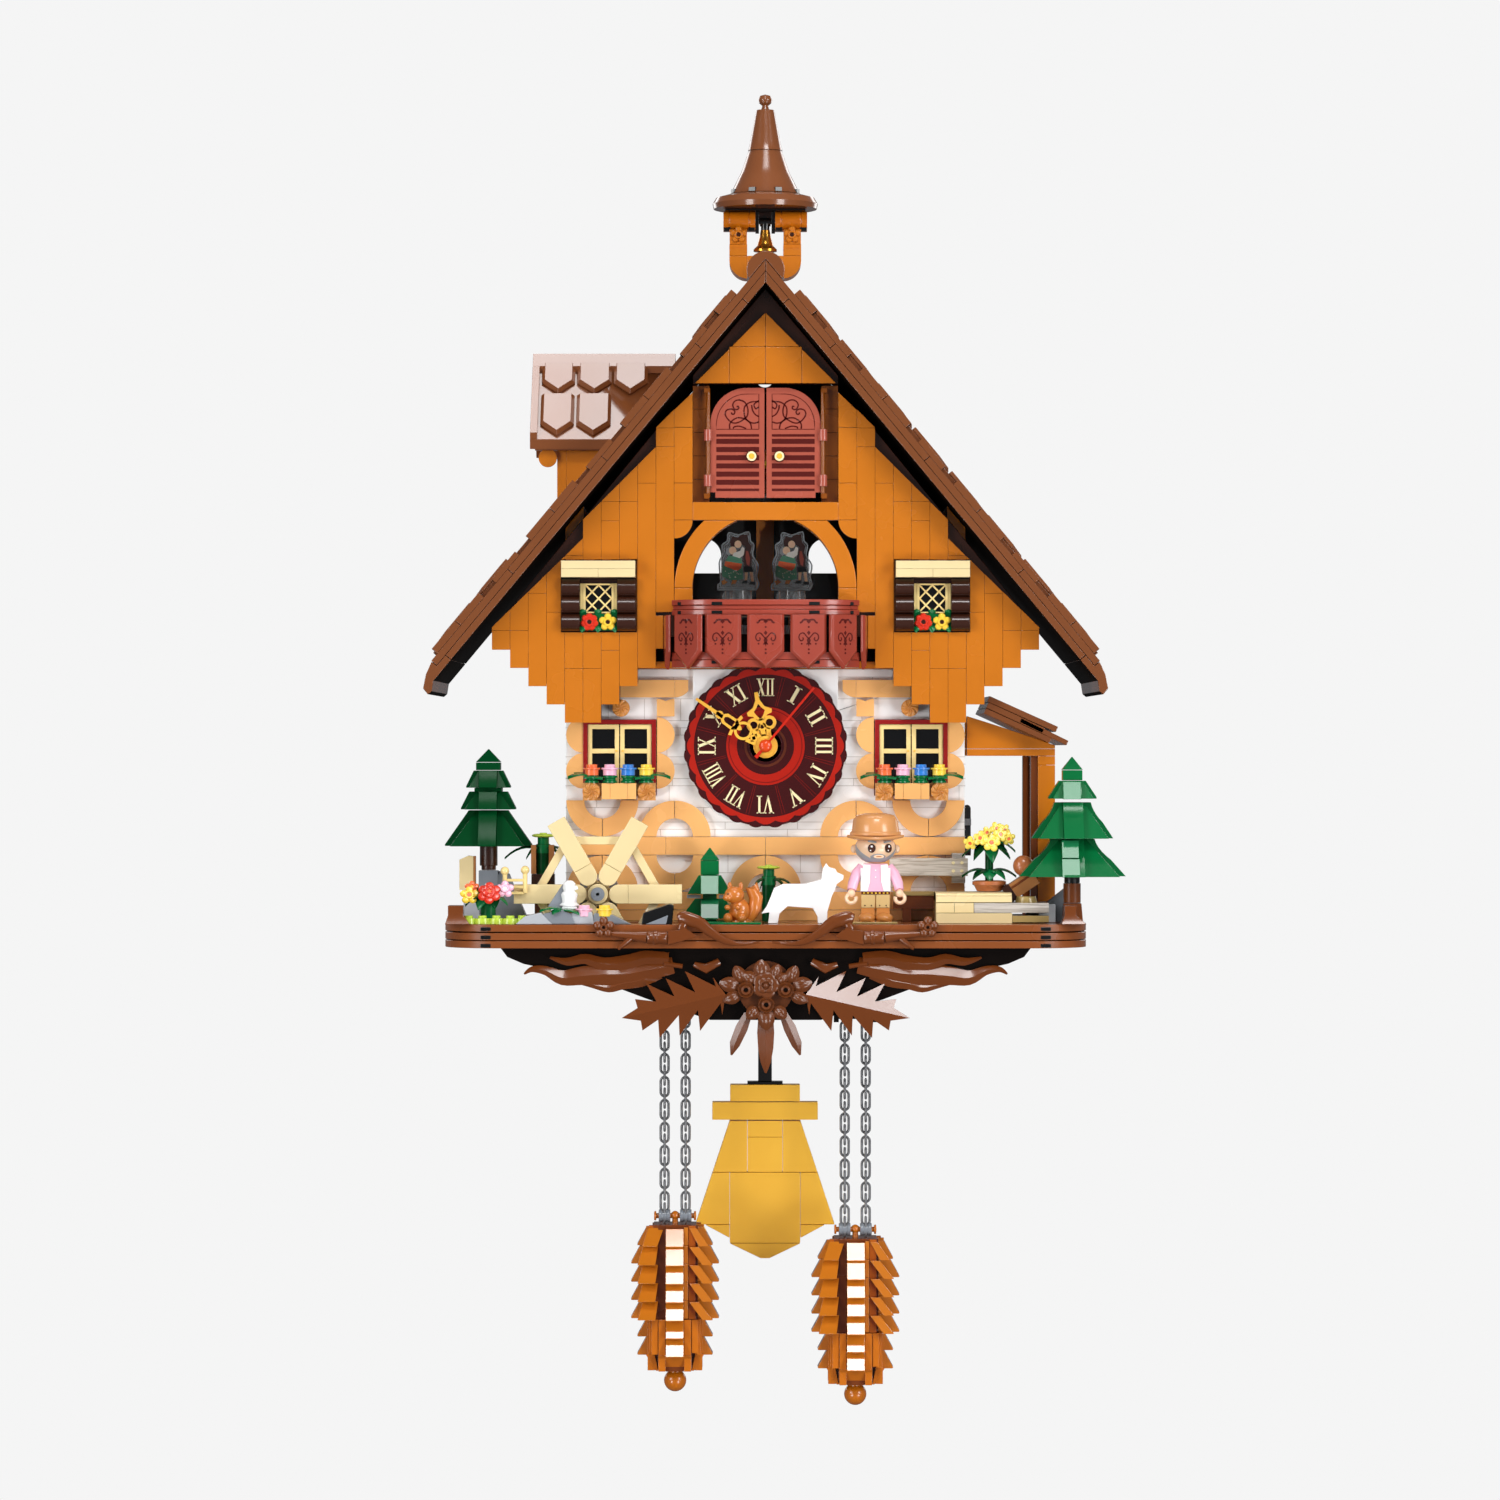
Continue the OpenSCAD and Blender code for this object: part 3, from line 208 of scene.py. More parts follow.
class Part:
    """Collects solids, drawn in millimetres in the row frame, into one piece that rides on a body."""

    def __init__(self, name, body, mat="orange"):
        self.name, self.body = name, body
        self.bm = bmesh.new()
        self.mats = []
        self.m = 0
        self.xf = Matrix.Identity(4)
        self.use(mat)

    def use(self, mat):
        if mat not in self.mats:
            self.mats.append(mat)
        self.m = self.mats.index(mat)
        return self

    def at(self, x=0, y=0, z=0, rx=0, ry=0, rz=0, s=1):
        """Where the next solids go: a translation in mm, then turns in degrees."""
        rot = (Matrix.Rotation(math.radians(rz), 4, "Z") @ Matrix.Rotation(math.radians(ry), 4, "Y")
               @ Matrix.Rotation(math.radians(rx), 4, "X"))
        self.xf = Matrix.Translation((x, y, z)) @ rot @ Matrix.Scale(s, 4)
        return self

    def mesh(self, verts, faces):
        vs = [self.bm.verts.new(self.xf @ Vector(v)) for v in verts]
        for f in faces:
            try:
                face = self.bm.faces.new([vs[i] for i in f])
            except ValueError:
                continue
            face.material_index = self.m
        return self

    def prism(self, pts, y0, y1, plane="xz"):
        """A polygon drawn in X and Z, from depth y0 to y1; plane xy or yz for the other two."""
        n = len(pts)
        put = {"xz": lambda a, b, c: (a, c, b), "xy": lambda a, b, c: (a, b, c),
               "yz": lambda a, b, c: (c, a, b)}[plane]
        verts = [put(a, b, y0) for a, b in pts] + [put(a, b, y1) for a, b in pts]
        faces = [list(range(n)), list(range(2 * n - 1, n - 1, -1))]
        faces += [[i, i + n, (i + 1) % n + n, (i + 1) % n] for i in range(n)]
        return self.mesh(verts, faces)

    def box(self, a, b):
        return self.prism([(a[0], a[2]), (b[0], a[2]), (b[0], b[2]), (a[0], b[2])], a[1], b[1])

    def ring(self, outer, inner, y0, y1, plane="xz"):
        """A closed frame between two polygons with the same number of points."""
        n = len(outer)
        put = {"xz": lambda a, b, c: (a, c, b), "xy": lambda a, b, c: (a, b, c)}[plane]
        verts = [put(a, b, y) for y in (y0, y1) for ring in (outer, inner) for a, b in ring]
        faces = []
        for i in range(n):
            j = (i + 1) % n
            faces += [[i, j, n + j, n + i], [2 * n + i, 3 * n + i, 3 * n + j, 2 * n + j],
                      [i, 2 * n + i, 2 * n + j, j], [n + i, n + j, 3 * n + j, 3 * n + i]]
        return self.mesh(verts, faces)

    def rev(self, profile, axis="z", at=(0, 0, 0), seg=24, a0=0, a1=360):
        """A profile of (radius, height) turned about an axis through a point."""
        full = abs(a1 - a0) >= 360
        steps = seg if full else seg + 1
        n = len(profile)
        verts = []
        for k in range(steps):
            a = math.radians(a0 + (a1 - a0) * k / seg)
            for r, h in profile:
                u, v = r * math.cos(a), r * math.sin(a)
                p = {"z": (u, v, h), "y": (u, h, v), "x": (h, u, v)}[axis]
                verts.append((p[0] + at[0], p[1] + at[1], p[2] + at[2]))
        faces = []
        for k in range(seg):
            j = (k + 1) % steps
            for i in range(n - 1):
                faces.append([k * n + i, j * n + i, j * n + i + 1, k * n + i + 1])
        self.mesh(verts, faces)
        return self

    def cyl(self, c, r, h, axis="z", seg=24, r1=None):
        """A closed cylinder or cone from point c, of height h along the axis."""
        r1 = r if r1 is None else r1
        return self.rev([(0, 0), (r, 0), (r1, h), (0, h)], axis, c, seg)

    def ball(self, c, r, sx=1, sy=1, sz=1, seg=16):
        rows = seg // 2
        verts = [(c[0], c[1], c[2] - r * sz)]
        for i in range(1, rows):
            a = -PI / 2 + PI * i / rows
            for k in range(seg):
                b = 2 * PI * k / seg
                verts.append((c[0] + r * sx * math.cos(a) * math.cos(b),
                              c[1] + r * sy * math.cos(a) * math.sin(b), c[2] + r * sz * math.sin(a)))
        verts.append((c[0], c[1], c[2] + r * sz))
        faces = [[0, 1 + (k + 1) % seg, 1 + k] for k in range(seg)]
        for i in range(rows - 2):
            for k in range(seg):
                a, b = 1 + i * seg + k, 1 + i * seg + (k + 1) % seg
                faces.append([a, b, b + seg, a + seg])
        last = len(verts) - 1
        faces += [[last, last - seg + k, last - seg + (k + 1) % seg] for k in range(seg)]
        return self.mesh(verts, faces)

    def tube(self, path, radii, seg=8, flat=1.0, closed=False):
        """A round or flattened bar along a path of points."""
        pts = [Vector(p) for p in path]
        if not hasattr(radii, "__len__"):
            radii = [radii] * len(pts)
        n = len(pts)
        verts = []
        side = None
        for i, p in enumerate(pts):
            if closed:
                t = (pts[(i + 1) % n] - pts[i - 1]).normalized()
            else:
                t = (pts[min(i + 1, n - 1)] - pts[max(i - 1, 0)]).normalized()
            if side is None:
                up = Vector((0, 1, 0)) if abs(t.y) < 0.9 else Vector((1, 0, 0))
                side = t.cross(up).normalized()
            side = (side - t * side.dot(t)).normalized()
            other = t.cross(side)
            for k in range(seg):
                a = 2 * PI * k / seg
                verts.append(p + side * math.cos(a) * radii[i] + other * math.sin(a) * radii[i] * flat)
        faces = []
        for i in range(n if closed else n - 1):
            j = (i + 1) % n
            for k in range(seg):
                l = (k + 1) % seg
                faces.append([i * seg + k, i * seg + l, j * seg + l, j * seg + k])
        if not closed:
            faces += [list(range(seg - 1, -1, -1)), [(n - 1) * seg + k for k in range(seg)]]
        return self.mesh(verts, faces)

    def done(self, bevel=0.25, smooth=35, replaces=(), slot=None, segments=2):
        bmesh.ops.remove_doubles(self.bm, verts=self.bm.verts, dist=0.0005)
        bmesh.ops.recalc_face_normals(self.bm, faces=self.bm.faces)
        for v in self.bm.verts:
            v.co *= MM
        me = bpy.data.meshes.new(self.name)
        self.bm.to_mesh(me)
        self.bm.free()
        for m in self.mats:
            me.materials.append(MAT[m])
        ob = bpy.data.objects.new(self.name, me)
        bpy.context.scene.collection.objects.link(ob)
        finish_shape(ob, bevel, smooth, segments)
        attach(ob, self.body)
        if replaces:
            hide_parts(*([replaces] if isinstance(replaces, str) else replaces))
        return ob


def finish_shape(ob, bevel, smooth, segments=2):
    """Rounded brick edges: smooth shading by angle and a small bevel."""
    me = ob.data
    for p in me.polygons:
        p.use_smooth = True
    if bevel:
        b = ob.modifiers.new("bevel", "BEVEL")
        b.width = bevel * MM
        b.segments = segments
        b.limit_method = "ANGLE"
        b.angle_limit = math.radians(smooth)
        b.harden_normals = True
        b.use_clamp_overlap = True
    else:
        me.set_sharp_from_angle(angle=math.radians(smooth))


def cad(node, mat, bevel=0.3, smooth=35):
    """Gives a CAD node its colour and its rounded brick edges."""
    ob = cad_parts[node]
    me = ob.data
    me.materials.clear()
    me.materials.append(MAT[mat])
    for p in me.polygons:
        p.material_index = 0
        p.use_smooth = True
    if "custom_normal" in me.attributes:
        me.attributes.remove(me.attributes["custom_normal"])
    for e in me.attributes:
        if e.name == "sharp_edge":
            me.attributes.remove(e)
            break
    w = ob.modifiers.new("weld", "WELD")
    w.merge_threshold = 0.00001
    if bevel:
        b = ob.modifiers.new("bevel", "BEVEL")
        b.width = bevel * MM
        b.segments = 2
        b.limit_method = "ANGLE"
        b.angle_limit = math.radians(smooth)
        b.harden_normals = True
    return ob


def arc(cx, cz, r, a0, a1, n=8):
    """Points of an arc, angles in degrees from +X."""
    return [(cx + r * math.cos(math.radians(a0 + (a1 - a0) * k / n)),
             cz + r * math.sin(math.radians(a0 + (a1 - a0) * k / n))) for k in range(n + 1)]


# ---------------------------------------------------------------- CAD bricks that stay

FINISH = {
    "back_panel": "black", "deck_plates": "deck", "keel": "keel", "front_wall": "white",
    "side_walls": "white", "upper_floor": "amber", "gable_backing": "dark_brown",
    "gable_left": "orange", "gable_right": "orange", "gable_centre": "orange", "arch": "orange",
    "cuckoo_jambs": "jamb", "roof_left": "roof", "roof_right": "roof", "ridge_cap": "roof",
    "dormer_walls": "orange", "dormer_roof": "roof", "belfry_frame": "orange", "spire": "roof",
    "cuckoo_rails": "grey", "balcony": "dusty", "sun_gear": "grey", "dial": "maroon",
    "movement_case": "black", "battery": "steel", "wall_trim": "tan", "lower_windows": "cream",
    "flower_boxes": "tan", "upper_windows": "dark_brown", "side_porch": "orange",
    "gear_posts": "grey", "wheel_stand": "grey", "fir_trees": "green", "rocks": "grey",
    "plants": "green", "bench_steps": "cream", "man": "hat", "animals": "white",
    "deck_antlers": "brown", "keel_leaves": "brown", "bell": "brass", "left_door": "door",
    "right_door": "door", "cuckoo_bird": "orange", "cuckoo_carriage": "brown",
    "carousel": "clear", "crown_gear": "grey", "left_dancers": "clear",
    "right_dancers": "clear", "crank": "black", "hour_hand": "hand", "minute_hand": "hand",
    "second_hand": "second", "mill_wheel": "cream", "pendulum_rod": "black",
    "pendulum_bob": "gold", "left_chain": "chain", "right_chain": "chain",
    "left_cone": "amber", "right_cone": "amber",
}
for node, mat in FINISH.items():
    cad(node, mat)


# ---------------------------------------------------------------- dial, hands

DIAL_Z = -168.0


def smooth_path(pts, n=5):
    """A curve through the points."""
    out = []
    for i in range(len(pts) - 1):
        p0, p1, p2, p3 = pts[max(i - 1, 0)], pts[i], pts[i + 1], pts[min(i + 2, len(pts) - 1)]
        for k in range(n):
            t = k / n
            out.append(tuple(0.5 * (2 * b + (c - a) * t + (2 * a - 5 * b + 4 * c - d) * t * t
                                    + (3 * b - a - 3 * c + d) * t ** 3)
                             for a, b, c, d in zip(p0, p1, p2, p3)))
    return out + [tuple(pts[-1])]


def stroke(part, pts, w, y0, y1):
    """A flat printed line of width w along points in X and Z."""
    left, right = [], []
    for i, p in enumerate(pts):
        a, b = pts[max(i - 1, 0)], pts[min(i + 1, len(pts) - 1)]
        d = math.hypot(b[0] - a[0], b[1] - a[1]) or 1
        nx, nz = -(b[1] - a[1]) / d * w / 2, (b[0] - a[0]) / d * w / 2
        left.append((p[0] + nx, p[1] + nz))
        right.append((p[0] - nx, p[1] - nz))
    for i in range(len(pts) - 1):
        part.prism([left[i], left[i + 1], right[i + 1], right[i]], y0, y1)


def circle(cx, cz, r, n=24):
    return [(cx + r * math.cos(2 * PI * k / n), cz + r * math.sin(2 * PI * k / n)) for k in range(n)]


def glyph(letter):
    """Strokes of one Roman letter, 8 mm tall, and its width."""
    if letter == "I":
        return [[(0.75, 0), (1.85, 0), (1.85, 8), (0.75, 8)],
                [(0, 0), (2.6, 0), (2.6, 0.45), (0, 0.45)], [(0, 7.55), (2.6, 7.55), (2.6, 8), (0, 8)]], 2.6
    if letter == "V":
        return [[(0.6, 8), (2.0, 8), (3.5, 1.4), (2.9, 0)], [(4.7, 8), (5.2, 8), (3.2, 0), (2.7, 0)],
                [(0, 7.55), (2.6, 7.55), (2.6, 8), (0, 8)], [(3.9, 7.55), (5.9, 7.55), (5.9, 8), (3.9, 8)]], 5.9
    return [[(0.5, 8), (1.9, 8), (5.3, 0), (3.9, 0)], [(4.7, 8), (5.2, 8), (1.3, 0), (0.8, 0)],
            [(0, 7.55), (2.5, 7.55), (2.5, 8), (0, 8)], [(3.7, 7.55), (5.8, 7.55), (5.8, 8), (3.7, 8)],
            [(0.1, 0), (2.1, 0), (2.1, 0.45), (0.1, 0.45)],
            [(3.4, 0), (5.9, 0), (5.9, 0.45), (3.4, 0.45)]], 5.9


def turned(pts, deg, cx=0.0, cz=0.0):
    """Points turned clockwise about the origin, then moved."""
    a = -math.radians(deg)
    return [(cx + x * math.cos(a) - z * math.sin(a), cz + x * math.sin(a) + z * math.cos(a)) for x, z in pts]


def scallop(r, depth, count=24, n=8):
    pts = []
    for k in range(count * n):
        a = 2 * PI * k / (count * n)
        bump = abs(math.sin(count * a / 2 + PI / 2))
        pts.append((r - depth * (1 - bump)) * 1.0)
    return [(p * math.sin(2 * PI * k / len(pts)), DIAL_Z + p * math.cos(2 * PI * k / len(pts)))
            for k, p in enumerate(pts)]


def make_dial():
    p = Part("dial_print", "clock", "dial_red")
    face = -94.3
    p.ring(scallop(34.6, 1.5), scallop(31.5, 0), face - 0.12, face)
    p.use("maroon").prism(circle(0, DIAL_Z, 31.6, 96), face - 0.1, face)
    p.use("dial_mid")
    for k in range(12):
        for off in (-1.2, 1.2):
            bar = [(-0.12, 18), (0.12, 18), (0.12, 31), (-0.12, 31)]
            p.prism(turned(bar, 15 + 30 * k + off, 0, DIAL_Z), face - 0.16, face)
    layers = [("dial_red", 17.3), ("dial_mid", 16.3), ("dial_red", 15.9), ("maroon", 12.6),
              ("dial_brown", 9.3), ("maroon", 8.2)]
    for i, (mat, r) in enumerate(layers):
        p.use(mat).prism(circle(0, DIAL_Z, r, 72), face - 0.22 - 0.05 * i, face)
    p.use("numeral")
    widths = {"I": 3.6, "II": 6.2, "III": 7.6, "IV": 8.0, "V": 6.4, "VI": 7.6, "VII": 8.4, "VIII": 9.2,
              "IX": 8.0, "X": 7.0, "XI": 7.8, "XII": 7.8}
    for k, word in enumerate(["XII", "I", "II", "III", "IV", "V", "VI", "VII", "VIII", "IX", "X", "XI"]):
        parts, x = [], 0.0
        for letter in word:
            strokes, w = glyph(letter)
            parts += [[(a + x, b) for a, b in s] for s in strokes]
            x += w + 0.3
        scale = widths[word] / (x - 0.3)
        for s in parts:
            pts = [((a - (x - 0.3) / 2) * scale, 21.9 + b * 0.98) for a, b in s]
            p.prism(turned(pts, 30 * k, 0, DIAL_Z), face - 0.2, face)
    p.done(bevel=0, replaces=())
    hub = Part("dial_nut", "clock", "hub")
    hub.rev([(3.4, -95.6), (7.0, -95.6), (7.3, -95.3), (7.3, -94.5)], "y", (0, 0, DIAL_Z), 48)
    hub.rev([(3.4, -95.9), (5.2, -95.9), (5.4, -95.6)], "y", (0, 0, DIAL_Z), 48)
    hub.done(bevel=0)


def make_hands():
    def put(part, pts, deg, y0, y1):
        part.prism(turned(pts, deg, 0, DIAL_Z), y0, y1)

    def loop(part, outer, inner, deg, y0, y1):
        part.ring(turned(outer, deg, 0, DIAL_Z), turned(inner, deg, 0, DIAL_Z), y0, y1)

    def both(f):
        f(1)
        f(-1)

    h = Part("hour_hand_ornate", "hour_hand", "hand")
    a, y0, y1 = 350, -97.2, -96.2
    right = [(0.8, 24), (1.0, 20.4), (2.6, 17.4), (5.6, 15.7), (5.3, 14.1), (3.2, 13.5), (1.4, 11.2)]
    inner = [(0.15, 18.6), (0.3, 18.4), (1.1, 17.0), (2.4, 15.7), (2.3, 15.2), (1.6, 13.9), (0.4, 12.4)]
    loop(h, right + [(-x, z) for x, z in right[::-1]], inner + [(-x, z) for x, z in inner[::-1]], a, y0, y1)
    for s in (-1, 1):
        loop(h, circle(3.5 * s, 9.9, 3.1), circle(3.5 * s, 9.9, 1.6), a, y0, y1)
        put(h, [(1.4 * s, 5), (3.4 * s, 4), (3.6 * s, 7.4), (1.8 * s, 8.4)], a, y0, y1)
    loop(h, circle(0, 8.6, 2.0, 16), circle(0, 8.6, 0.9, 16), a, y0, y1)
    put(h, [(-1.4, 3), (1.4, 3), (1.0, 7), (-1.0, 7)], a, y0, y1)
    put(h, [(-0.7, 10.4), (0.7, 10.4), (1.2, 12.4), (-1.2, 12.4)], a, y0, y1)
    loop(h, circle(0, 0, 5.4, 32), circle(0, 0, 2.3, 32), a, y0, y1)
    h.rev([(3.0, -97.2), (3.0, -76.0), (2.3, -76.0), (2.3, -97.2)], "y", (0, 0, DIAL_Z), 32)
    h.done(bevel=0.18, replaces="hour_hand", slot="gold_metal")

    m = Part("minute_hand_ornate", "minute_hand", "hand")
    a, y0, y1 = 304.2, -98.8, -97.8
    put(m, [(-0.85, 23), (0.85, 23), (0.62, 36.9), (-0.62, 36.9)], a, y0, y1)
    put(m, circle(0, 24.4, 1.75, 20), a, y0, y1)
    outer = [(1.0, 23.2), (2.5, 21.6), (2.7, 16.6), (1.6, 15)]
    inner = [(0.5, 21.8), (1.3, 20.8), (1.4, 17.2), (0.6, 16.4)]
    loop(m, outer + [(-x, z) for x, z in outer[::-1]], inner + [(-x, z) for x, z in inner[::-1]], a, y0, y1)
    put(m, [(-5.2, 16.4), (-4.6, 15.0), (0, 15.9), (4.6, 15.0), (5.2, 16.4), (2.0, 16.9), (-2.0, 16.9)],
        a, y0, y1)
    loop(m, circle(0, 11.8, 4.1, 28), circle(0, 11.8, 2.9, 28), a, y0, y1)
    put(m, [(-1.6, 15.4), (1.6, 15.4), (0.9, 13.4), (0, 12.6), (-0.9, 13.4)], a, y0, y1)
    loop(m, [(0, 8.2), (2.3, 6.2), (0, 4.0), (-2.3, 6.2)], [(0, 7.2), (1.0, 6.2), (0, 5.1), (-1.0, 6.2)], a, y0, y1)
    for s in (-1, 1):
        put(m, [(0.8 * s, 4), (2.4 * s, 3.6), (3.4 * s, 8.6), (1.6 * s, 8.6)], a, y0, y1)
    loop(m, circle(0, 0, 4.4, 32), circle(0, 0, 1.3, 32), a, y0, y1)
    m.rev([(2.2, -98.8), (2.2, -74.5), (1.3, -74.5), (1.3, -98.8)], "y", (0, 0, DIAL_Z), 32)
    m.done(bevel=0.18, replaces="minute_hand", slot="gold_metal")

    s = Part("second_hand_red", "second_hand", "second")
    a, y0, y1 = 39.8, -100.2, -99.5
    put(s, [(-0.85, -6.7), (0.85, -6.7), (0.5, 0), (0.5, 33.3), (-0.5, 33.3), (-0.5, 0)], a, y0, y1)
    s.cyl((0, -100.2, DIAL_Z), 1.2, 27.2, "y", 24)
    s.use("boss").rev([(0, -101.8), (1.3, -101.7), (2.4, -101.2), (2.9, -100.4), (2.9, -99.4), (0, -99.4)],
                      "y", (0, 0, DIAL_Z), 32)
    s.done(bevel=0, smooth=40, replaces="second_hand", slot="red_metal")


# ---------------------------------------------------------------- cuckoo doors, balcony, dancers

def make_doors():
    scrolls = [
        [(13.8, -19.9), (14.4, -18.2), (13.5, -16.6), (11.6, -16.0), (9.4, -16.8), (8.3, -18.2), (7.7, -20.4),
         (7.9, -22.7), (9.0, -24.1), (11.3, -25.6), (13.5, -26.2), (15.3, -25.6), (16.8, -24.1), (17.7, -22.3),
         (17.3, -20.8), (16.1, -20.1), (14.6, -20.1), (13.5, -21.0), (13.7, -22.1), (14.6, -22.3), (15.0, -21.5)],
        [(13.8, -19.9), (12.7, -20.3), (11.8, -19.7), (12.0, -18.8), (12.7, -19.0)],
        [(2.8, -16.2), (4.6, -17.5), (5.0, -18.6), (4.2, -19.9), (3.0, -19.1)],
        [(2.8, -16.8), (5.7, -16.8), (7.9, -17.7), (9.2, -19.3), (9.4, -21.5), (8.9, -23.8), (7.2, -25.6),
         (5.0, -26.2), (2.8, -25.6)],
        [(6.1, -18.2), (5.7, -20.4), (4.6, -22.3), (2.8, -23.4)],
        [(15.7, -28.7), (15.7, -26.7), (14.6, -25.1), (12.4, -23.9), (9.8, -24.1), (7.6, -25.3), (6.5, -26.7),
         (6.1, -28.7)],
        [(14.2, -28.6), (13.6, -27.8), (11.3, -27.6), (8.5, -28.6)],
    ]
    border = [(2.9, -28.9), (21.6, -28.9), (21.6, -26.6)] + arc(8.3, -26.6, 13.2, 0, 90, 10)[1:] + [(2.9, -13.4)]
    for side, body in ((-1, "left_door"), (1, "right_door")):
        p = Part(body + "_print", body, "dusty_dark")
        y0, y1 = -100.12, -99.95
        for z, h in [(-31.6, 1.1)] + [(-34.2 - 3.6 * i, 2.2) for i in range(6)] + [(-55.5, 1.1)]:
            p.prism([(side * 2.8, z - h / 2), (side * 21.6, z - h / 2), (side * 21.6, z + h / 2),
                     (side * 2.8, z + h / 2)], y0, y1)
        line = [(side * u, z) for u, z in border]
        stroke(p, line + [line[0]], 0.3, y0, y1)
        for s in scrolls:
            stroke(p, smooth_path([(side * u, z) for u, z in s]), 0.62, y0, y1)
        p.done(bevel=0)
        k = Part(body + "_knob", body, "numeral")
        k.use("gold").rev([(0, -102.6), (1.0, -102.6), (1.3, -102.25), (0, -102.25)], "y", (side * 6.1, 0, -40.8), 24)
        k.use("dusty_dark").rev([(0, -100.25), (2.6, -100.25), (2.6, -100.0)], "y", (side * 6.1, 0, -40.8), 24)
        k.done(bevel=0)


def panel_print(p, scale):
    """The printed motif of one balcony panel, on its front face."""
    y0, y1 = -2.62, -2.45
    for s in (-1, 1):
        stroke(p, smooth_path([(0, -113.5), (s * 1.4 * scale, -113.2), (s * 2.4 * scale, -113.4),
                               (s * 3.1 * scale, -114.3), (s * 3.9 * scale, -114.6)]), 0.8, y0, y1)
        stroke(p, smooth_path([(0, -121.6), (s * 1.0 * scale, -120.4), (s * 2.4 * scale, -119.0),
                               (s * 3.9 * scale, -119.6), (s * 4.3 * scale, -121.2), (s * 3.4 * scale, -122.4),
                               (s * 2.4 * scale, -121.8), (s * 2.7 * scale, -120.9)]), 0.55, y0, y1)
        p.prism(circle(s * 3.1 * scale, -123.7, 0.42, 10), y0, y1)
        stroke(p, [(0, -123.0), (s * 1.0 * scale, -124.0)], 0.6, y0, y1)
    p.prism([(0, -117.9), (0.8 * scale, -118.9), (0, -120.0), (-0.8 * scale, -118.9)], y0, y1)
    p.prism([(0, -120.8), (0.9 * scale, -122.0), (0, -125.0), (-0.9 * scale, -122.0)], y0, y1)
    p.prism([(0, -115.0), (1.0 * scale, -114.0), (0, -113.4), (-1.0 * scale, -114.0)], y0, y1)
    for z in (-116.4, -126.1, -127.7):
        p.prism(circle(0, z, 0.46, 10), y0, y1)


def make_balcony():
    bay = [(41, -104.4), (41, -114), (35, -121), (24, -125.6), (-24, -125.6), (-35, -121), (-41, -114),
           (-41, -104.4)]
    p = Part("balcony_bricks", "clock", "dusty")
    inner = [(35, -104.4), (35, -111.8), (31.6, -115.9), (22.6, -119.6), (-22.6, -119.6), (-31.6, -115.9),
             (-35, -111.8), (-35, -104.4)]
    p.prism(bay, -133.8, -130.6, "xy")
    p.prism(bay, -130.5, -127.2, "xy")
    small = [(x * 0.985, -104.4 + (y + 104.4) * 0.95) for x, y in bay]
    for z0, z1, o in ((-111, -108.7, bay), (-106.7, -104.3, bay)):
        p.ring(o, inner, z0, z1, "xy")
    p.ring(small, inner, -108.6, -106.8, "xy")
    for x, y in ((-20, -122.4), (20, -122.4), (-36.6, -112), (36.6, -112)):
        p.cyl((x, y, -127.1), 2.4, 16)
    for x0, x1 in ((-50.5, -44.8), (44.8, 50.5)):
        p.use("orange").box((x0, -103.8, -125.4), (x1, -100.0, -110.8))
    p.done(bevel=0.3, replaces="balcony")
    d = Part("balcony_gaps", "clock", "black")
    for x in (-21.2, 21.2):
        for z in (-106.1, -109.9, -131.6):
            d.box((x - 2.3, -125.75, z - 0.7), (x + 2.3, -124.0, z + 0.7))
    for s in (-1, 1):
        for z in (-106.1, -109.9):
            d.box((s * 37.2 - 1.2, -118.8, z - 0.7), (s * 37.2 + 1.2, -117.4, z + 0.7))
    d.done(bevel=0)
    panels = [(0, -125.8, 0, 8), (18.4, -125.8, 7, 7.9), (-18.4, -125.8, -7, 7.9), (33, -123.2, 40, 7.6),
              (-33, -123.2, -40, 7.6), (41.6, -111.4, 84, 6), (-41.6, -111.4, -84, 6)]
    q = Part("balcony_panels", "clock", "dusty")
    r = Part("balcony_print", "clock", "dusty_dark")
    for x, y, turn, w in panels:
        q.at(x, y, 0, rz=turn)
        r.at(x, y, 0, rz=turn)
        out = [(-w, -111), (w, -111), (w, -127), (0, -134.7), (-w, -127)]
        face = [(-w + 1.1, -111), (w - 1.1, -111), (w - 1.1, -126.5), (0, -133.1), (-w + 1.1, -126.5)]
        q.prism(out, -1.5, -0.4)
        verts = [(a, -1.5, b) for a, b in out] + [(a, -2.5, b) for a, b in face]
        q.mesh(verts, [[5, 6, 7, 8, 9]] + [[i, (i + 1) % 5, (i + 1) % 5 + 5, i + 5] for i in range(5)])
        if w > 7:
            panel_print(r, 1.0 if w > 7.8 else 0.92)
    q.done(bevel=0.15)
    r.done(bevel=0)


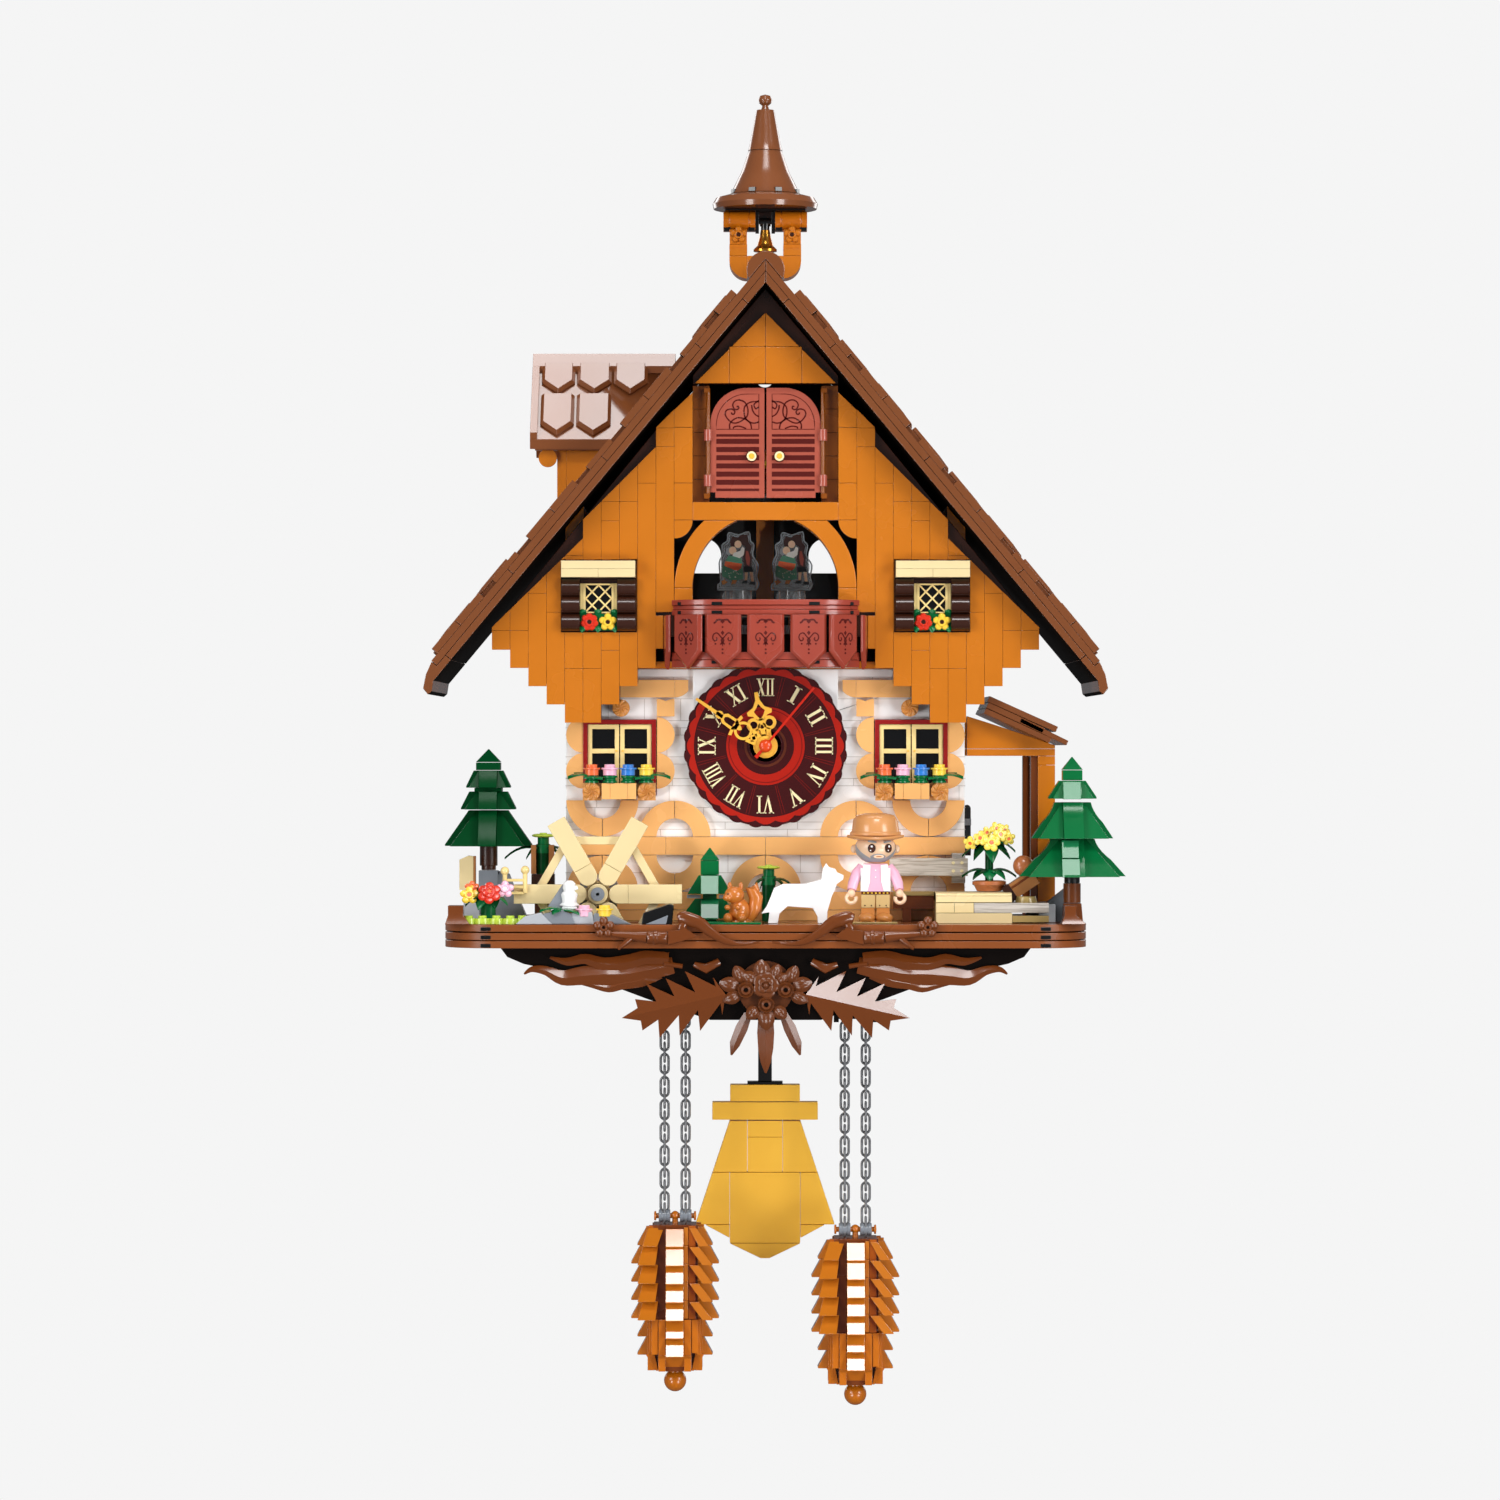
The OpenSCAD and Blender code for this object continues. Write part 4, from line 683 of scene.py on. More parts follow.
def make_dancers():
    outline = [(-9.2, 0), (-9.2, 2.4), (-8, 4), (-8.6, 12), (-7, 16), (-7.4, 20), (-5, 22), (-4.4, 25.6),
               (0, 24.6), (4.6, 26), (5.4, 22), (7, 20), (6.4, 15.4), (8.9, 11), (8.2, 6), (9.2, 2.6), (8, 0)]
    figure = [
        ("hair", [(-4.0, 21.6), (-3.0, 23.8), (-0.4, 23.4), (1.4, 24.6), (4.4, 24.8), (4.9, 21.4), (6.4, 19.6),
                  (5.6, 16), (3.0, 19.6), (1.0, 20.6), (-1.2, 19.4), (-3.6, 19.6)]),
        ("skirt", [(-4.6, 15.4), (1.2, 14.8), (1.8, 12), (2.4, 5), (-0.5, 4.3), (-4, 4.4), (-7.8, 6.2),
                   (-7.6, 10.2), (-6, 13)]),
        ("sash", [(-6.2, 12.9), (1.8, 11.7), (1.2, 9.6), (-0.8, 8.4), (-6.8, 10.9)]),
        ("beard", [(-5.6, 18.4), (-4.2, 19.4), (-3.4, 16.4), (-4.6, 15.2), (-6, 16.4)]),
        ("skin", circle(-2.7, 17.6, 1.8, 12)),
        ("skin", circle(-0.2, 20.4, 1.7, 12)),
        ("sleeve", [(-2.8, 15.2), (0.6, 14.2), (3, 16.0), (2.9, 18.8), (1.8, 19.4), (0.8, 17.4), (-2.2, 16.6)]),
        ("hair", [(3.0, 18.6), (5.0, 18.4), (6.6, 14.6), (6.2, 9.6), (3.0, 10.4), (2.2, 13.6)]),
        ("dusty", [(3.7, 17.4), (4.6, 17.4), (5.6, 13.8), (5.2, 10.6), (4.0, 11.4), (3.4, 14.4)]),
        ("black", [(2.4, 10.6), (6.6, 10.2), (7.0, 8), (2.6, 7.8)]),
        ("skin", [(3.0, 7.9), (4.5, 7.9), (4.2, 4.2), (3.0, 4.0)]),
        ("skin", [(5.4, 8), (6.9, 8), (7.4, 3.6), (6.2, 3.6)]),
        ("black", [(2.4, 4.2), (4.4, 4.4), (4.2, 3.0), (1.4, 2.9)]),
        ("black", [(5.8, 3.8), (7.8, 3.8), (8.0, 2.4), (5.0, 2.4)]),
        ("boots", [(-8.2, 3.8), (-6.6, 4.6), (-5.2, 3.4), (-7.4, 2.2)]),
        ("boots", [(-2.8, 4.4), (-0.6, 4.4), (-1.4, 2.8), (-3.4, 2.6)]),
    ]
    for x, body in ((-12, "left_dancers"), (12, "right_dancers")):
        base = Part(body + "_clear", body, "clear")
        base.at(x, -56, 0)
        shape = smooth_path([(a, b - 98.2) for a, b in outline], 3)
        base.prism(shape, -1, 1)
        base.use("clear_edge")
        for scale, r in ((1.0, 0.3), (0.86, 0.14)):
            base.tube([(a * scale, -1.05, -86.2 + (b + 86.2) * (scale + 1) / 2) for a, b in shape], r, 6, closed=True)
        base.use("clear")
        base.rev([(0, -107.8), (9, -107.8), (9, -105.2), (0, -105.2)], "z", seg=32)
        base.rev([(0, -105.1), (6, -105.1), (6, -98.4), (0, -98.4)], "z", seg=32)
        base.cyl((-4.4, -5.4, -101.6), 3.0, 4, "y", 24)
        base.cyl((3.2, -5.4, -101.6), 3.0, 4, "y", 24)
        base.rev([(1.6, -114.1), (1.6, -107.8)], "z", seg=20)
        base.use("grey")
        teeth = []
        for i in range(8):
            for off, r in ((-0.27, 2.8), (-0.18, 4), (-0.08, 4.75), (0.08, 4.75), (0.18, 4), (0.27, 2.8)):
                t = math.radians(22.5 + (i + off) * 45)
                teeth.append((r * math.cos(t), r * math.sin(t)))
        base.prism(teeth, -118, -114, "xy")
        base.done(bevel=0.15, replaces=body)
        art = Part(body + "_print", body, "hair")
        art.at(x, -56, 0)
        for i, (mat, pts) in enumerate(figure):
            mat = {"skin": "art_skin", "dusty": "art_vest"}.get(mat, mat)
            art.use(mat).prism([(a * 0.94, b - 98.2) for a, b in pts], -1.2 - 0.02 * i, -1.02)
        art.use("sleeve")
        rnd = random.Random(3)
        for _ in range(16):
            a, b = rnd.uniform(-6.4, 1.2), rnd.uniform(5.4, 9)
            art.prism(circle(a * 0.92, b - 98.2, 0.22, 6), -1.4, -1.1)
        art.done(bevel=0)


make_dial()
make_hands()
make_doors()
make_balcony()
make_dancers()


# ---------------------------------------------------------------- windows, flower boxes, rosettes

def bloom(p, x, y, z, r, mat, centre, petals=5, rx=0, rz=0, ry=0):
    """A moulded flower facing the front."""
    p.at(x, y, z, rx=rx, rz=rz, ry=ry)
    p.use(mat)
    for k in range(petals):
        a = 2 * PI * k / petals + PI / 2
        p.rev([(0, -r * 0.34), (r * 0.28, -r * 0.3), (r * 0.4, -r * 0.14), (r * 0.36, 0), (0, 0)], "y",
              (r * 0.62 * math.cos(a), 0, r * 0.62 * math.sin(a)), 12)
    p.rev([(r * 0.24, -r * 0.3), (r * 0.3, -r * 0.46), (r * 0.46, -r * 0.46), (r * 0.52, -r * 0.2), (r * 0.3, 0)],
          "y", seg=20)
    p.use(centre).rev([(0, -r * 0.3), (r * 0.25, -r * 0.3), (r * 0.25, 0), (0, 0)], "y", seg=12)
    p.at()


def rosette(p, x, y, z, r, depth, turns=8):
    """A round brick whose face is cut in swirling grooves."""
    p.at(x, y, z)
    rings, seg = 7, 64
    verts = [(0, -0.5, 0)]
    for i in range(1, rings + 1):
        rr = r * i / rings
        for k in range(seg):
            a = 2 * PI * k / seg
            groove = 0.42 * math.sin(turns * (a + 0.22 * rr)) * min(1, rr / 1.2) * (1 if i < rings else 0.3)
            verts.append((rr * math.cos(a), -0.55 * (1 - (rr / r) ** 3) + groove, rr * math.sin(a)))
    faces = [[0, 1 + k, 1 + (k + 1) % seg] for k in range(seg)]
    for i in range(rings - 1):
        a, b = 1 + i * seg, 1 + (i + 1) * seg
        faces += [[a + k, b + k, b + (k + 1) % seg, a + (k + 1) % seg] for k in range(seg)]
    p.mesh(verts, faces)
    p.rev([(r, 0), (r, depth), (0, depth)], "y", seg=seg)
    p.at()


def stud_flower(p, x, y, z, mat):
    """A round plate flower on a stalk hole; z is its foot."""
    p.use(mat).rev([(0, z + 4.8), (2.2, z + 4.8), (2.4, z + 4.6), (2.4, z + 3.3), (3.7, z + 3.3), (3.8, z + 3.1),
                    (3.7, z + 2.6), (3.0, z + 2.5), (3.0, z), (0, z)], "z", (x, y, 0), 28)


def pot_foot(p, x, y, z, mat="green"):
    p.use(mat).rev([(0, z + 3.1), (3.2, z + 3.1), (3.2, z + 2.3), (2.5, z + 1.9), (2.5, z + 1.3), (3.2, z + 0.8),
                    (3.1, z), (0, z)], "z", (x, y, 0), 28)


def leaf(p, root, tip, width, sag=1.5, thick=0.6, lift=1.0):
    """A pointed leaf from root to tip, folded along its rib."""
    a, b = Vector(root), Vector(tip)
    d = b - a
    flat = Vector((d.x, d.y, 0)) if abs(d.z) < 0.9 * d.length else Vector((0, -1, 0))
    side = Vector((-flat.y, flat.x, 0)).normalized()
    n = 7
    top, low = [], []
    for i in range(n + 1):
        t = i / n
        c = a + d * t + Vector((0, 0, sag * 4 * t * (1 - t)))
        w = width / 2 * math.sin(PI * min(1, 0.12 + 0.88 * t) ** 1.1) if i < n else 0.05
        row = [c - side * w + Vector((0, 0, -lift * 0.3)), c + Vector((0, 0, lift * 0.25)),
               c + side * w + Vector((0, 0, -lift * 0.3))]
        top += row
        low += [v - Vector((0, 0, thick)) for v in row]
    m = len(top)
    faces = []
    for i in range(n):
        for k in range(2):
            q = [3 * i + k, 3 * i + k + 1, 3 * i + k + 4, 3 * i + k + 3]
            faces += [q, [m + v for v in q[::-1]]]
        faces += [[3 * i, 3 * i + 3, m + 3 * i + 3, m + 3 * i], [3 * i + 5, 3 * i + 2, m + 3 * i + 2, m + 3 * i + 5]]
    faces += [[0, m, m + 1, 1], [1, m + 1, m + 2, 2]]
    e = 3 * n
    faces += [[e, e + 1, m + e + 1, m + e], [e + 1, e + 2, m + e + 2, m + e + 1]]
    p.mesh([tuple(v) for v in top + low], faces)


def make_upper_windows():
    logs = Part("upper_window_logs", "clock", "dark_brown")
    rest = Part("upper_window_lattice", "clock", "cream")
    for c in (-73.2, 73.2):
        for x0, x1 in ((-16.2, -8.2), (8.2, 16.2)):
            for z in (-98.7, -106.2, -113.9):
                logs.box((c + x0, -104.9, z - 3.7), (c + x1, -101, z + 3.7))
                half = arc(-104.9, z, 3.75, 90, 270, 12)
                logs.prism(half, c + x0, c + x1, "yz")
        logs.box((c - 8.1, -102.2, -117.5), (c + 8.1, -101, -95.2))
        rest.use("cream")
        for z0, z1, seams in ((-94.2, -90.6, (-16.25, 0, 16.25)), (-90.5, -87.0, (-16.25, 16.25))):
            for a, b in zip(seams, seams[1:]):
                rest.box((c + a + 0.06, -111.8, z0), (c + b - 0.06, -101, z1))
        for x in (-12, -4, 4, 12):
            rest.use("brown").box((c + x - 2.2, -111, -86.9), (c + x + 2.2, -104, -86.5))
        rest.use("yellowish")
        frame_out = [(c - 8, -109.8), (c + 8, -109.8), (c + 8, -96.8), (c - 8, -96.8)]
        frame_in = [(c - 5.7, -109.2), (c + 5.7, -109.2), (c + 5.7, -97.5), (c - 5.7, -97.5)]
        rest.ring(frame_out, frame_in, -104.4, -102.4)
        groove = [(c - 6.9, -109.6), (c + 6.9, -109.6), (c + 6.9, -97.0), (c - 6.9, -97.0)]
        rest.ring(groove, frame_in, -104.7, -104.3)
        for s in (-1, 1):
            for (a, b), (e, f) in (((-5.7, -97.5), (5.7, -109.2)), ((-5.7, -103.35), (0, -109.2)),
                                   ((0, -97.5), (5.7, -103.35))):
                stroke(rest, [(c + s * a, b), (c + s * e, f)], 0.72, -103.8 - 0.1 * s, -103.0)
        rest.use("glass").box((c - 6, -102.7, -109.4), (c + 6, -102.25, -97.3))
        rest.use("green").box((c - 8, -104.4, -117.4), (c + 8, -102.4, -110.2))
        for x in (-6.6, -0.2, 6.6):
            for z in (-110.6, -116.4):
                leaf(rest, (c + x, -104.2, z), (c + x * 1.1, -106.6, z + (1.6 if z > -113 else -1.4)), 3.4)
        bloom(rest, c - 4.0, -105.2, -113.7, 3.9, "red", "dark_brown", 7)
        bloom(rest, c + 4.1, -105.2, -113.7, 3.9, "yellow", "dark_brown", 5)
    logs.done(bevel=0.2, replaces="upper_windows")
    rest.done(bevel=0.12)


def make_lower_windows():
    p = Part("casement_windows", "clock", "red_frame")
    for c in (-64.3, 64.3):
        p.use("red_frame")
        p.ring([(c - 16.1, -190), (c + 16.1, -190), (c + 16.1, -156.4), (c - 16.1, -156.4)],
               [(c - 14.1, -188), (c + 14.1, -188), (c + 14.1, -158.4), (c - 14.1, -158.4)], -92, -84)
        for s in (-1, 1):
            a, b = sorted((c + s * 0.25, c + s * 14.0))
            p.use("yellowish")
            p.ring([(a, -187.8), (b, -187.8), (b, -158.5), (a, -158.5)],
                   [(a + 1.9, -186), (b - 1.9, -186), (b - 1.9, -160.6), (a + 1.9, -160.6)], -91, -89)
            p.box((a + 1.8, -90.8, -171.3), (b - 1.8, -89.1, -169.2))
            p.use("glass").box((a + 1, -88.9, -187), (b - 1, -88, -159.5))
            p.use("hand").cyl((c + s * 1.4, -91.6, -170.2), 0.5, 1.2, "y", 12)
    p.done(bevel=0.2, replaces="lower_windows")
    f = Part("window_planters", "clock", "tan")
    g = Part("window_flowers", "clock", "green")
    for c in (-64.3, 64.3):
        f.use("tan")
        for a, b in ((-7.6, -3.9), (-3.8, 3.8), (3.9, 7.6)):
            f.box((c + a, -104, -191.4), (c + b, -92.1, -184.4))
        for s in (-1, 1):
            f.use("tan").box((c + s * 12 - 4, -98.4, -192), (c + s * 12 + 4, -92.1, -184.3))
            f.use("rosette")
            rosette(f, c + s * 12.1, -103.6, -188, 3.9, 5)
        f.use("rosette")
        rosette(f, math.copysign(63.6, c), -95.4, -151.3, 3.8, 6)
        for x, mat in ((-12, "coral"), (-4, "pink"), (4, "blue"), (12, "yellow")):
            stud_flower(g, c + x, -101.8, -180.9, mat)
            pot_foot(g, c + x, -101.8, -184.2)
        g.use("green")
        for s in (-1, 1):
            leaf(g, (c + s * 9, -101, -181.8), (c + s * 22.6, -99.5, -181.7), 8, sag=1.8, lift=1.6)
            leaf(g, (c + s * 10, -101, -181.4), (c + s * 15.5, -105.4, -181.7), 6, sag=0.4)
            leaf(g, (c + s * 10, -101, -181.5), (c + s * 20, -96.5, -180), 5, sag=0.8)
            leaf(g, (c + s * 13, -102, -181.6), (c + s * 7, -105.3, -182), 5, sag=0.4)
    f.done(bevel=0.2, smooth=50, replaces="flower_boxes")
    g.done(bevel=0.1, smooth=40)


# ---------------------------------------------------------------- pine cones and chains

def make_cones():
    for x, drop, body, node in ((-40.3, 0, "left_weight", "left_cone"), (40.3, 6.1, "right_weight", "right_cone")):
        p = Part(node + "_scales", body, "amber")
        top = -382 - drop
        p.use("amber_dark").box((x - 9.6, -65.6, top - 57), (x + 9.6, -46.4, top + 0.4))
        p.box((x - 7.6, -63.6, top - 64.6), (x + 7.6, -48.4, top - 57))
        for side in range(4):
            p.at(x, -56, top, rz=90 * side)
            p.use("amber")
            for row in range(7):
                z = -1.2 - 8.15 * row
                r1 = 19.7 if 0 < row < 5 else 16.9
                r0 = r1 - 4.1
                p.use("scale")
                p.prism([(-9.8, z + 0.15), (-r0, z + 0.15), (-r1, z - 7.4), (-r1 + 0.3, z - 7.9), (-9.8, z - 7.9)],
                        -3.98, 3.98, "yz")
            for row in range(5):
                z0, z1 = -0.8 - 8.15 * row, -8.7 - 8.15 * row
                if row:
                    x0, x1, x2, x3, r0, r1, r2, r3 = -14.3, -7.4, -8.6, -16.5, 6.4, 10.8, 16.9, 12.4
                else:
                    x0, x1, x2, x3, r0, r1, r2, r3 = -11.8, -4.9, -7.8, -14.5, 6.4, 9.6, 15.2, 10.8
                p.mesh([(x0, -r0, z0), (x1, -r0, z0), (x1, -r1, z0), (x0, -r1, z0),
                        (x3, -r3, z1), (x2, -r3, z1), (x2, -r2, z1), (x3, -r2, z1)],
                       [[0, 1, 2, 3], [4, 5, 6, 7], [0, 1, 5, 4], [1, 2, 6, 5], [2, 3, 7, 6], [3, 0, 4, 7]])
                p.box((4.15, -12.9, z1 + 0.35), (5.95, -9.6, z0 + 0.45))
            # painted half shade: a dimmer amber strip beside the scales
            p.use("amber_half_shade").box((6.15, -11.6, -41.2), (9.2, -9.6, 0.2))
            # painted shadow: the recessed strip beside the scales is coloured dark amber
            p.use("amber_shade_strip").box((-7.4, -10.2, -41.2), (-4.15, -9.6, 0.2))
            p.use("amber")
            for s in (-1, 1):
                p.box((s * 5.7 - 1.55, -12.2, -64.6), (s * 5.7 + 1.55, -9.0, -41.5))
                p.box((s * 8.95 - 1.45, -11.4, -57.2 if s < 0 else -56.4), (s * 8.95 + 1.45, -9.0, -41.5))
            p.prism([(-9, -57.4), (-13.1, -57.4), (-8.4, -64.8), (-7.5, -64.8)], -7.4, 7.4, "yz")
            p.use("amber_dark").box((-4, -9.7, -64.9), (4, -7, -57.4))
        p.at(x, -56, 0)
        p.use("amber").ball((0, 0, top - 69.8), 5.0, seg=28)
        p.cyl((0, 0, top - 66.4), 3.2, 3)
        p.ball((0, 0, -378 - drop), 2.0, seg=20)
        p.cyl((0, 0, -382 - drop), 1.3, 3)
        p.cyl((-8.9, 0, -378.2 - drop), 1.15, 17.8, "x", 16)
        for s in (-1, 1):
            p.use("grey")
            p.rev([(1.2, -2.6), (2.7, -2.6), (2.9, -2.4), (2.9, -1.2), (2.55, -0.9), (2.55, 0.9), (2.9, 1.2),
                   (2.9, 2.4), (2.7, 2.6), (1.2, 2.6)], "x", (s * 4.75, 0, -378.2 - drop), 28)
            p.use("amber").rev([(0, 0), (1.9, 0), (2.1, 0.3), (2.1, 0.9), (0, 1.1)], "x",
                               (s * 8.4 - (1.0 if s < 0 else 0), 0, -378.2 - drop), 20)
        p.done(bevel=0.22, replaces=node)


def make_chains():
    for x, drop, body, node in ((-40.3, 0, "left_weight", "left_chain"), (40.3, 6.1, "right_weight", "right_chain")):
        p = Part(node + "_links", body, "chain")
        loop = ([(1.75 * math.cos(a), 2.55 + 1.75 * math.sin(a)) for a in [PI * k / 8 for k in range(9)]]
                + [(1.75 * math.cos(a), -2.55 + 1.75 * math.sin(a)) for a in [PI + PI * k / 8 for k in range(9)]])
        for s in (-4.7, 4.7):
            for i in range(19):
                z = -284.45 - drop - 5.14 * i
                if i % 2:
                    path = [(x + s + u, -56, z + v) for u, v in loop]
                else:
                    path = [(x + s, -56 + u, z + v) for u, v in loop]
                p.tube(path, 0.58, 8, closed=True)
        p.done(bevel=0, smooth=60, replaces=node)


make_upper_windows()
make_lower_windows()
make_cones()
make_chains()


# ---------------------------------------------------------------- the yard on the deck

GROUND = -245.0


def frustum(p, x, y, z0, z1, a0, b0, a1, b1, dx=0, dy=0):
    """A block from z0 to z1 with half sizes a, b below and a1, b1 above."""
    v = [(x - a0, y - b0, z0), (x + a0, y - b0, z0), (x + a0, y + b0, z0), (x - a0, y + b0, z0),
         (x + dx - a1, y + dy - b1, z1), (x + dx + a1, y + dy - b1, z1),
         (x + dx + a1, y + dy + b1, z1), (x + dx - a1, y + dy + b1, z1)]
    p.mesh(v, [[0, 1, 2, 3], [4, 5, 6, 7], [0, 1, 5, 4], [1, 2, 6, 5], [2, 3, 7, 6], [3, 0, 4, 7]])


def fir_tier(p, x, y, z0, z1, r_out, r_in, w, curved=False):
    """Four sloped bricks round the trunk and four corner slopes between them."""
    for side in range(4):
        p.at(x, y, 0, rz=90 * side)
        if curved:
            curve = [(-r_in - (r_out - r_in) * t ** 2.2, z1 - (z1 - z0 - 0.01) * t) for t in
                     [k / 7 for k in range(8)]]
            h = z1 - z0
            curve = [(-r_in, z1)] + [(-r_in - (r_out - r_in) * (0.18 * t + 0.34 * t * t), z1 - 0.55 * h * t)
                                     for t in [k / 5 for k in range(1, 6)]] + [(-r_out, z0)]
            p.prism([(-2, z1)] + curve + [(-2, z0)], -w, w, "yz")
        else:
            p.prism([(-2, z1), (-r_in, z1), (-r_out, z0 + 0.7), (-r_out, z0), (-2, z0)], -w, w, "yz")
        a, b = max(w + 0.4, r_in * 0.6), r_out * 0.85
        v = [(w, -a, z1), (a, -a, z1), (a, -w, z1), (w, -w, z1),
             (w, -b, z0), (b, -b, z0), (b, -w, z0), (w, -w, z0)]
        p.mesh(v, [[0, 1, 2, 3], [4, 5, 6, 7], [0, 1, 5, 4], [1, 2, 6, 5], [2, 3, 7, 6], [3, 0, 4, 7]])
    p.at()


def make_trees():
    p = Part("fir_left_boughs", "clock", "dark_green")
    x, y = -121.4, -104
    for z0, z1, r0, r1, w in ((-211.8, -196.2, 19, 8.6, 4), (-195.8, -188, 12, 8.4, 4), (-186.3, -178.8, 9.7, 6.4, 4)):
        fir_tier(p, x, y, z0, z1, r0, r1, w)
    p.box((x - 6, y - 6, -188), (x + 6, y + 6, -186.4))
    p.box((x - 5.3, y - 5.3, -178.6), (x + 5.3, y + 5.3, -175.3))
    frustum(p, x, y, -175.1, -169.4, 5.4, 5.4, 0.2, 0.2)
    p.use("dark_brown").cyl((x, y, -220.5), 3.9, 8.7)
    p.cyl((x, y, -222.4), 3.2, 2)
    p.use("grey").box((x - 4.2, y - 4.2, GROUND), (x + 4.2, y + 4.2, -222.6))
    p.done(bevel=0.2, replaces="fir_trees")
    q = Part("fir_right_boughs", "clock", "green")
    x, y = 133.7, -116
    fir_tier(q, x, y, -224.8, -208.6, 23.2, 9.6, 4.6, True)
    fir_tier(q, x, y, -208.3, -192.6, 17.8, 8, 4.4, True)
    fir_tier(q, x, y, -191, -183.2, 10.5, 5.8, 4)
    q.box((x - 4.3, y - 4.3, -183), (x + 4.3, y + 4.3, -178.6))
    frustum(q, x, y, -178.4, -172.8, 4.5, 4.5, 0.2, 0.2)
    # front slope tiles in a lighter green, partly a painted sheen
    q.use("green_with_painted_sheen")
    frustum(q, x - 0.5, y - 8.6, -191.2, -183.6, 3.9, 2.8, 3.9, 0.9, dy=2.1)
    frustum(q, x - 1.6, y - 19.8, -224.9, -217, 3.9, 3.1, 3.9, 1.2, dy=2.3)
    frustum(q, x - 1.6, y - 14.6, -216.6, -209, 3.7, 2.9, 3.7, 0.9, dy=2.05)
    q.use("black").cyl((x, y, -227.8), 3.4, 3)
    q.use("brown").cyl((x, y, -236.4), 3.8, 8.5)
    frustum(q, x, y, GROUND, -236.6, 4.6, 4.6, 3.9, 3.9)
    q.done(bevel=0.2)
    s = Part("fir_small", "clock", "green")
    x, y = -24.4, -106
    for z0, z1, r in ((-243.6, -234.9, 13), (-232.8, -224.6, 9.8)):
        s.prism([(x - r, z0), (x + r, z0), (x + r * 0.5, z1), (x - r * 0.5, z1)], y - 3.6, y + 3.6)
        s.prism([(y - r, z0), (y + r, z0), (y + 4, z1), (y - 4, z1)], x - 3.6, x + 3.6, "yz")
    s.box((x - 4, y - 4, -224.4), (x + 4, y + 4, -218.2))
    frustum(s, x, y, -218, -212.6, 4.2, 4.2, 0.2, 0.2)
    s.box((x - 3, y - 3, GROUND), (x + 3, y + 3, -216))
    # front slope tiles in a lighter green, partly a painted sheen
    s.use("green_with_painted_sheen")
    for z in (-243.4, -232.6):
        frustum(s, x, y - 9.4, z, z + 8, 3.9, 3.2, 3.9, 1.0, dy=2.05)
    s.use("light_grey").box((x - 10, y - 2, -234.7), (x - 4, y + 2, -233.2))
    s.box((x + 4, y - 2, -234.7), (x + 10, y + 2, -233.2))
    s.done(bevel=0.2)


def make_wheel():
    p = Part("mill_wheel_arms", "mill_wheel", "cream")
    p.at(-73, 0, -232.5)
    for k in range(6):
        a = math.radians(60 * k)

        def turn(u, v, a=a):
            return u * math.cos(a) - v * math.sin(a), u * math.sin(a) + v * math.cos(a)

        inner = [turn(u, v) for u, v in arc(9.0, 0, 4.2, 90, 270, 10)] + [turn(13.1, -4.2), turn(13.1, 4.2)]
        p.prism(inner, -122.6, -119)
        p.prism([turn(13.2, -4.2), turn(36.6, -4.2), turn(36.6, 4.2), turn(13.2, 4.2)], -122.8, -119)
        b0, b1 = math.radians(60 * k), math.radians(60 * k + 60)
        out = [(28.9 * math.cos(b0), 28.9 * math.sin(b0)), (28.9 * math.cos(b1), 28.9 * math.sin(b1)),
               (24.8 * math.cos(b1), 24.8 * math.sin(b1)), (24.8 * math.cos(b0), 24.8 * math.sin(b0))]
        p.prism(out, -118.8, -115.2)
        p.prism([turn(4, -2.6), turn(23, -2.6), turn(23, 2.6), turn(4, 2.6)], -118.8, -115.2)
    p.rev([(2.4, -122.9), (4.4, -122.9), (4.4, -115), (2.4, -115)], "y", seg=36)
    p.box((-2.6, -122.4, -0.5), (2.6, -115, 0.5))
    p.box((-0.5, -122.4, -2.6), (0.5, -115, 2.6))
    p.use("grey").cyl((0, -126, 0), 1.0, 11, "y", 16)
    p.done(bevel=0.25, replaces="mill_wheel")


def ellipse(cx, cz, a, b, n=20, a0=0, a1=360):
    return [(cx + a * math.cos(math.radians(a0 + (a1 - a0) * k / n)),
             cz + b * math.sin(math.radians(a0 + (a1 - a0) * k / n))) for k in range(n if a1 - a0 >= 360 else n + 1)]


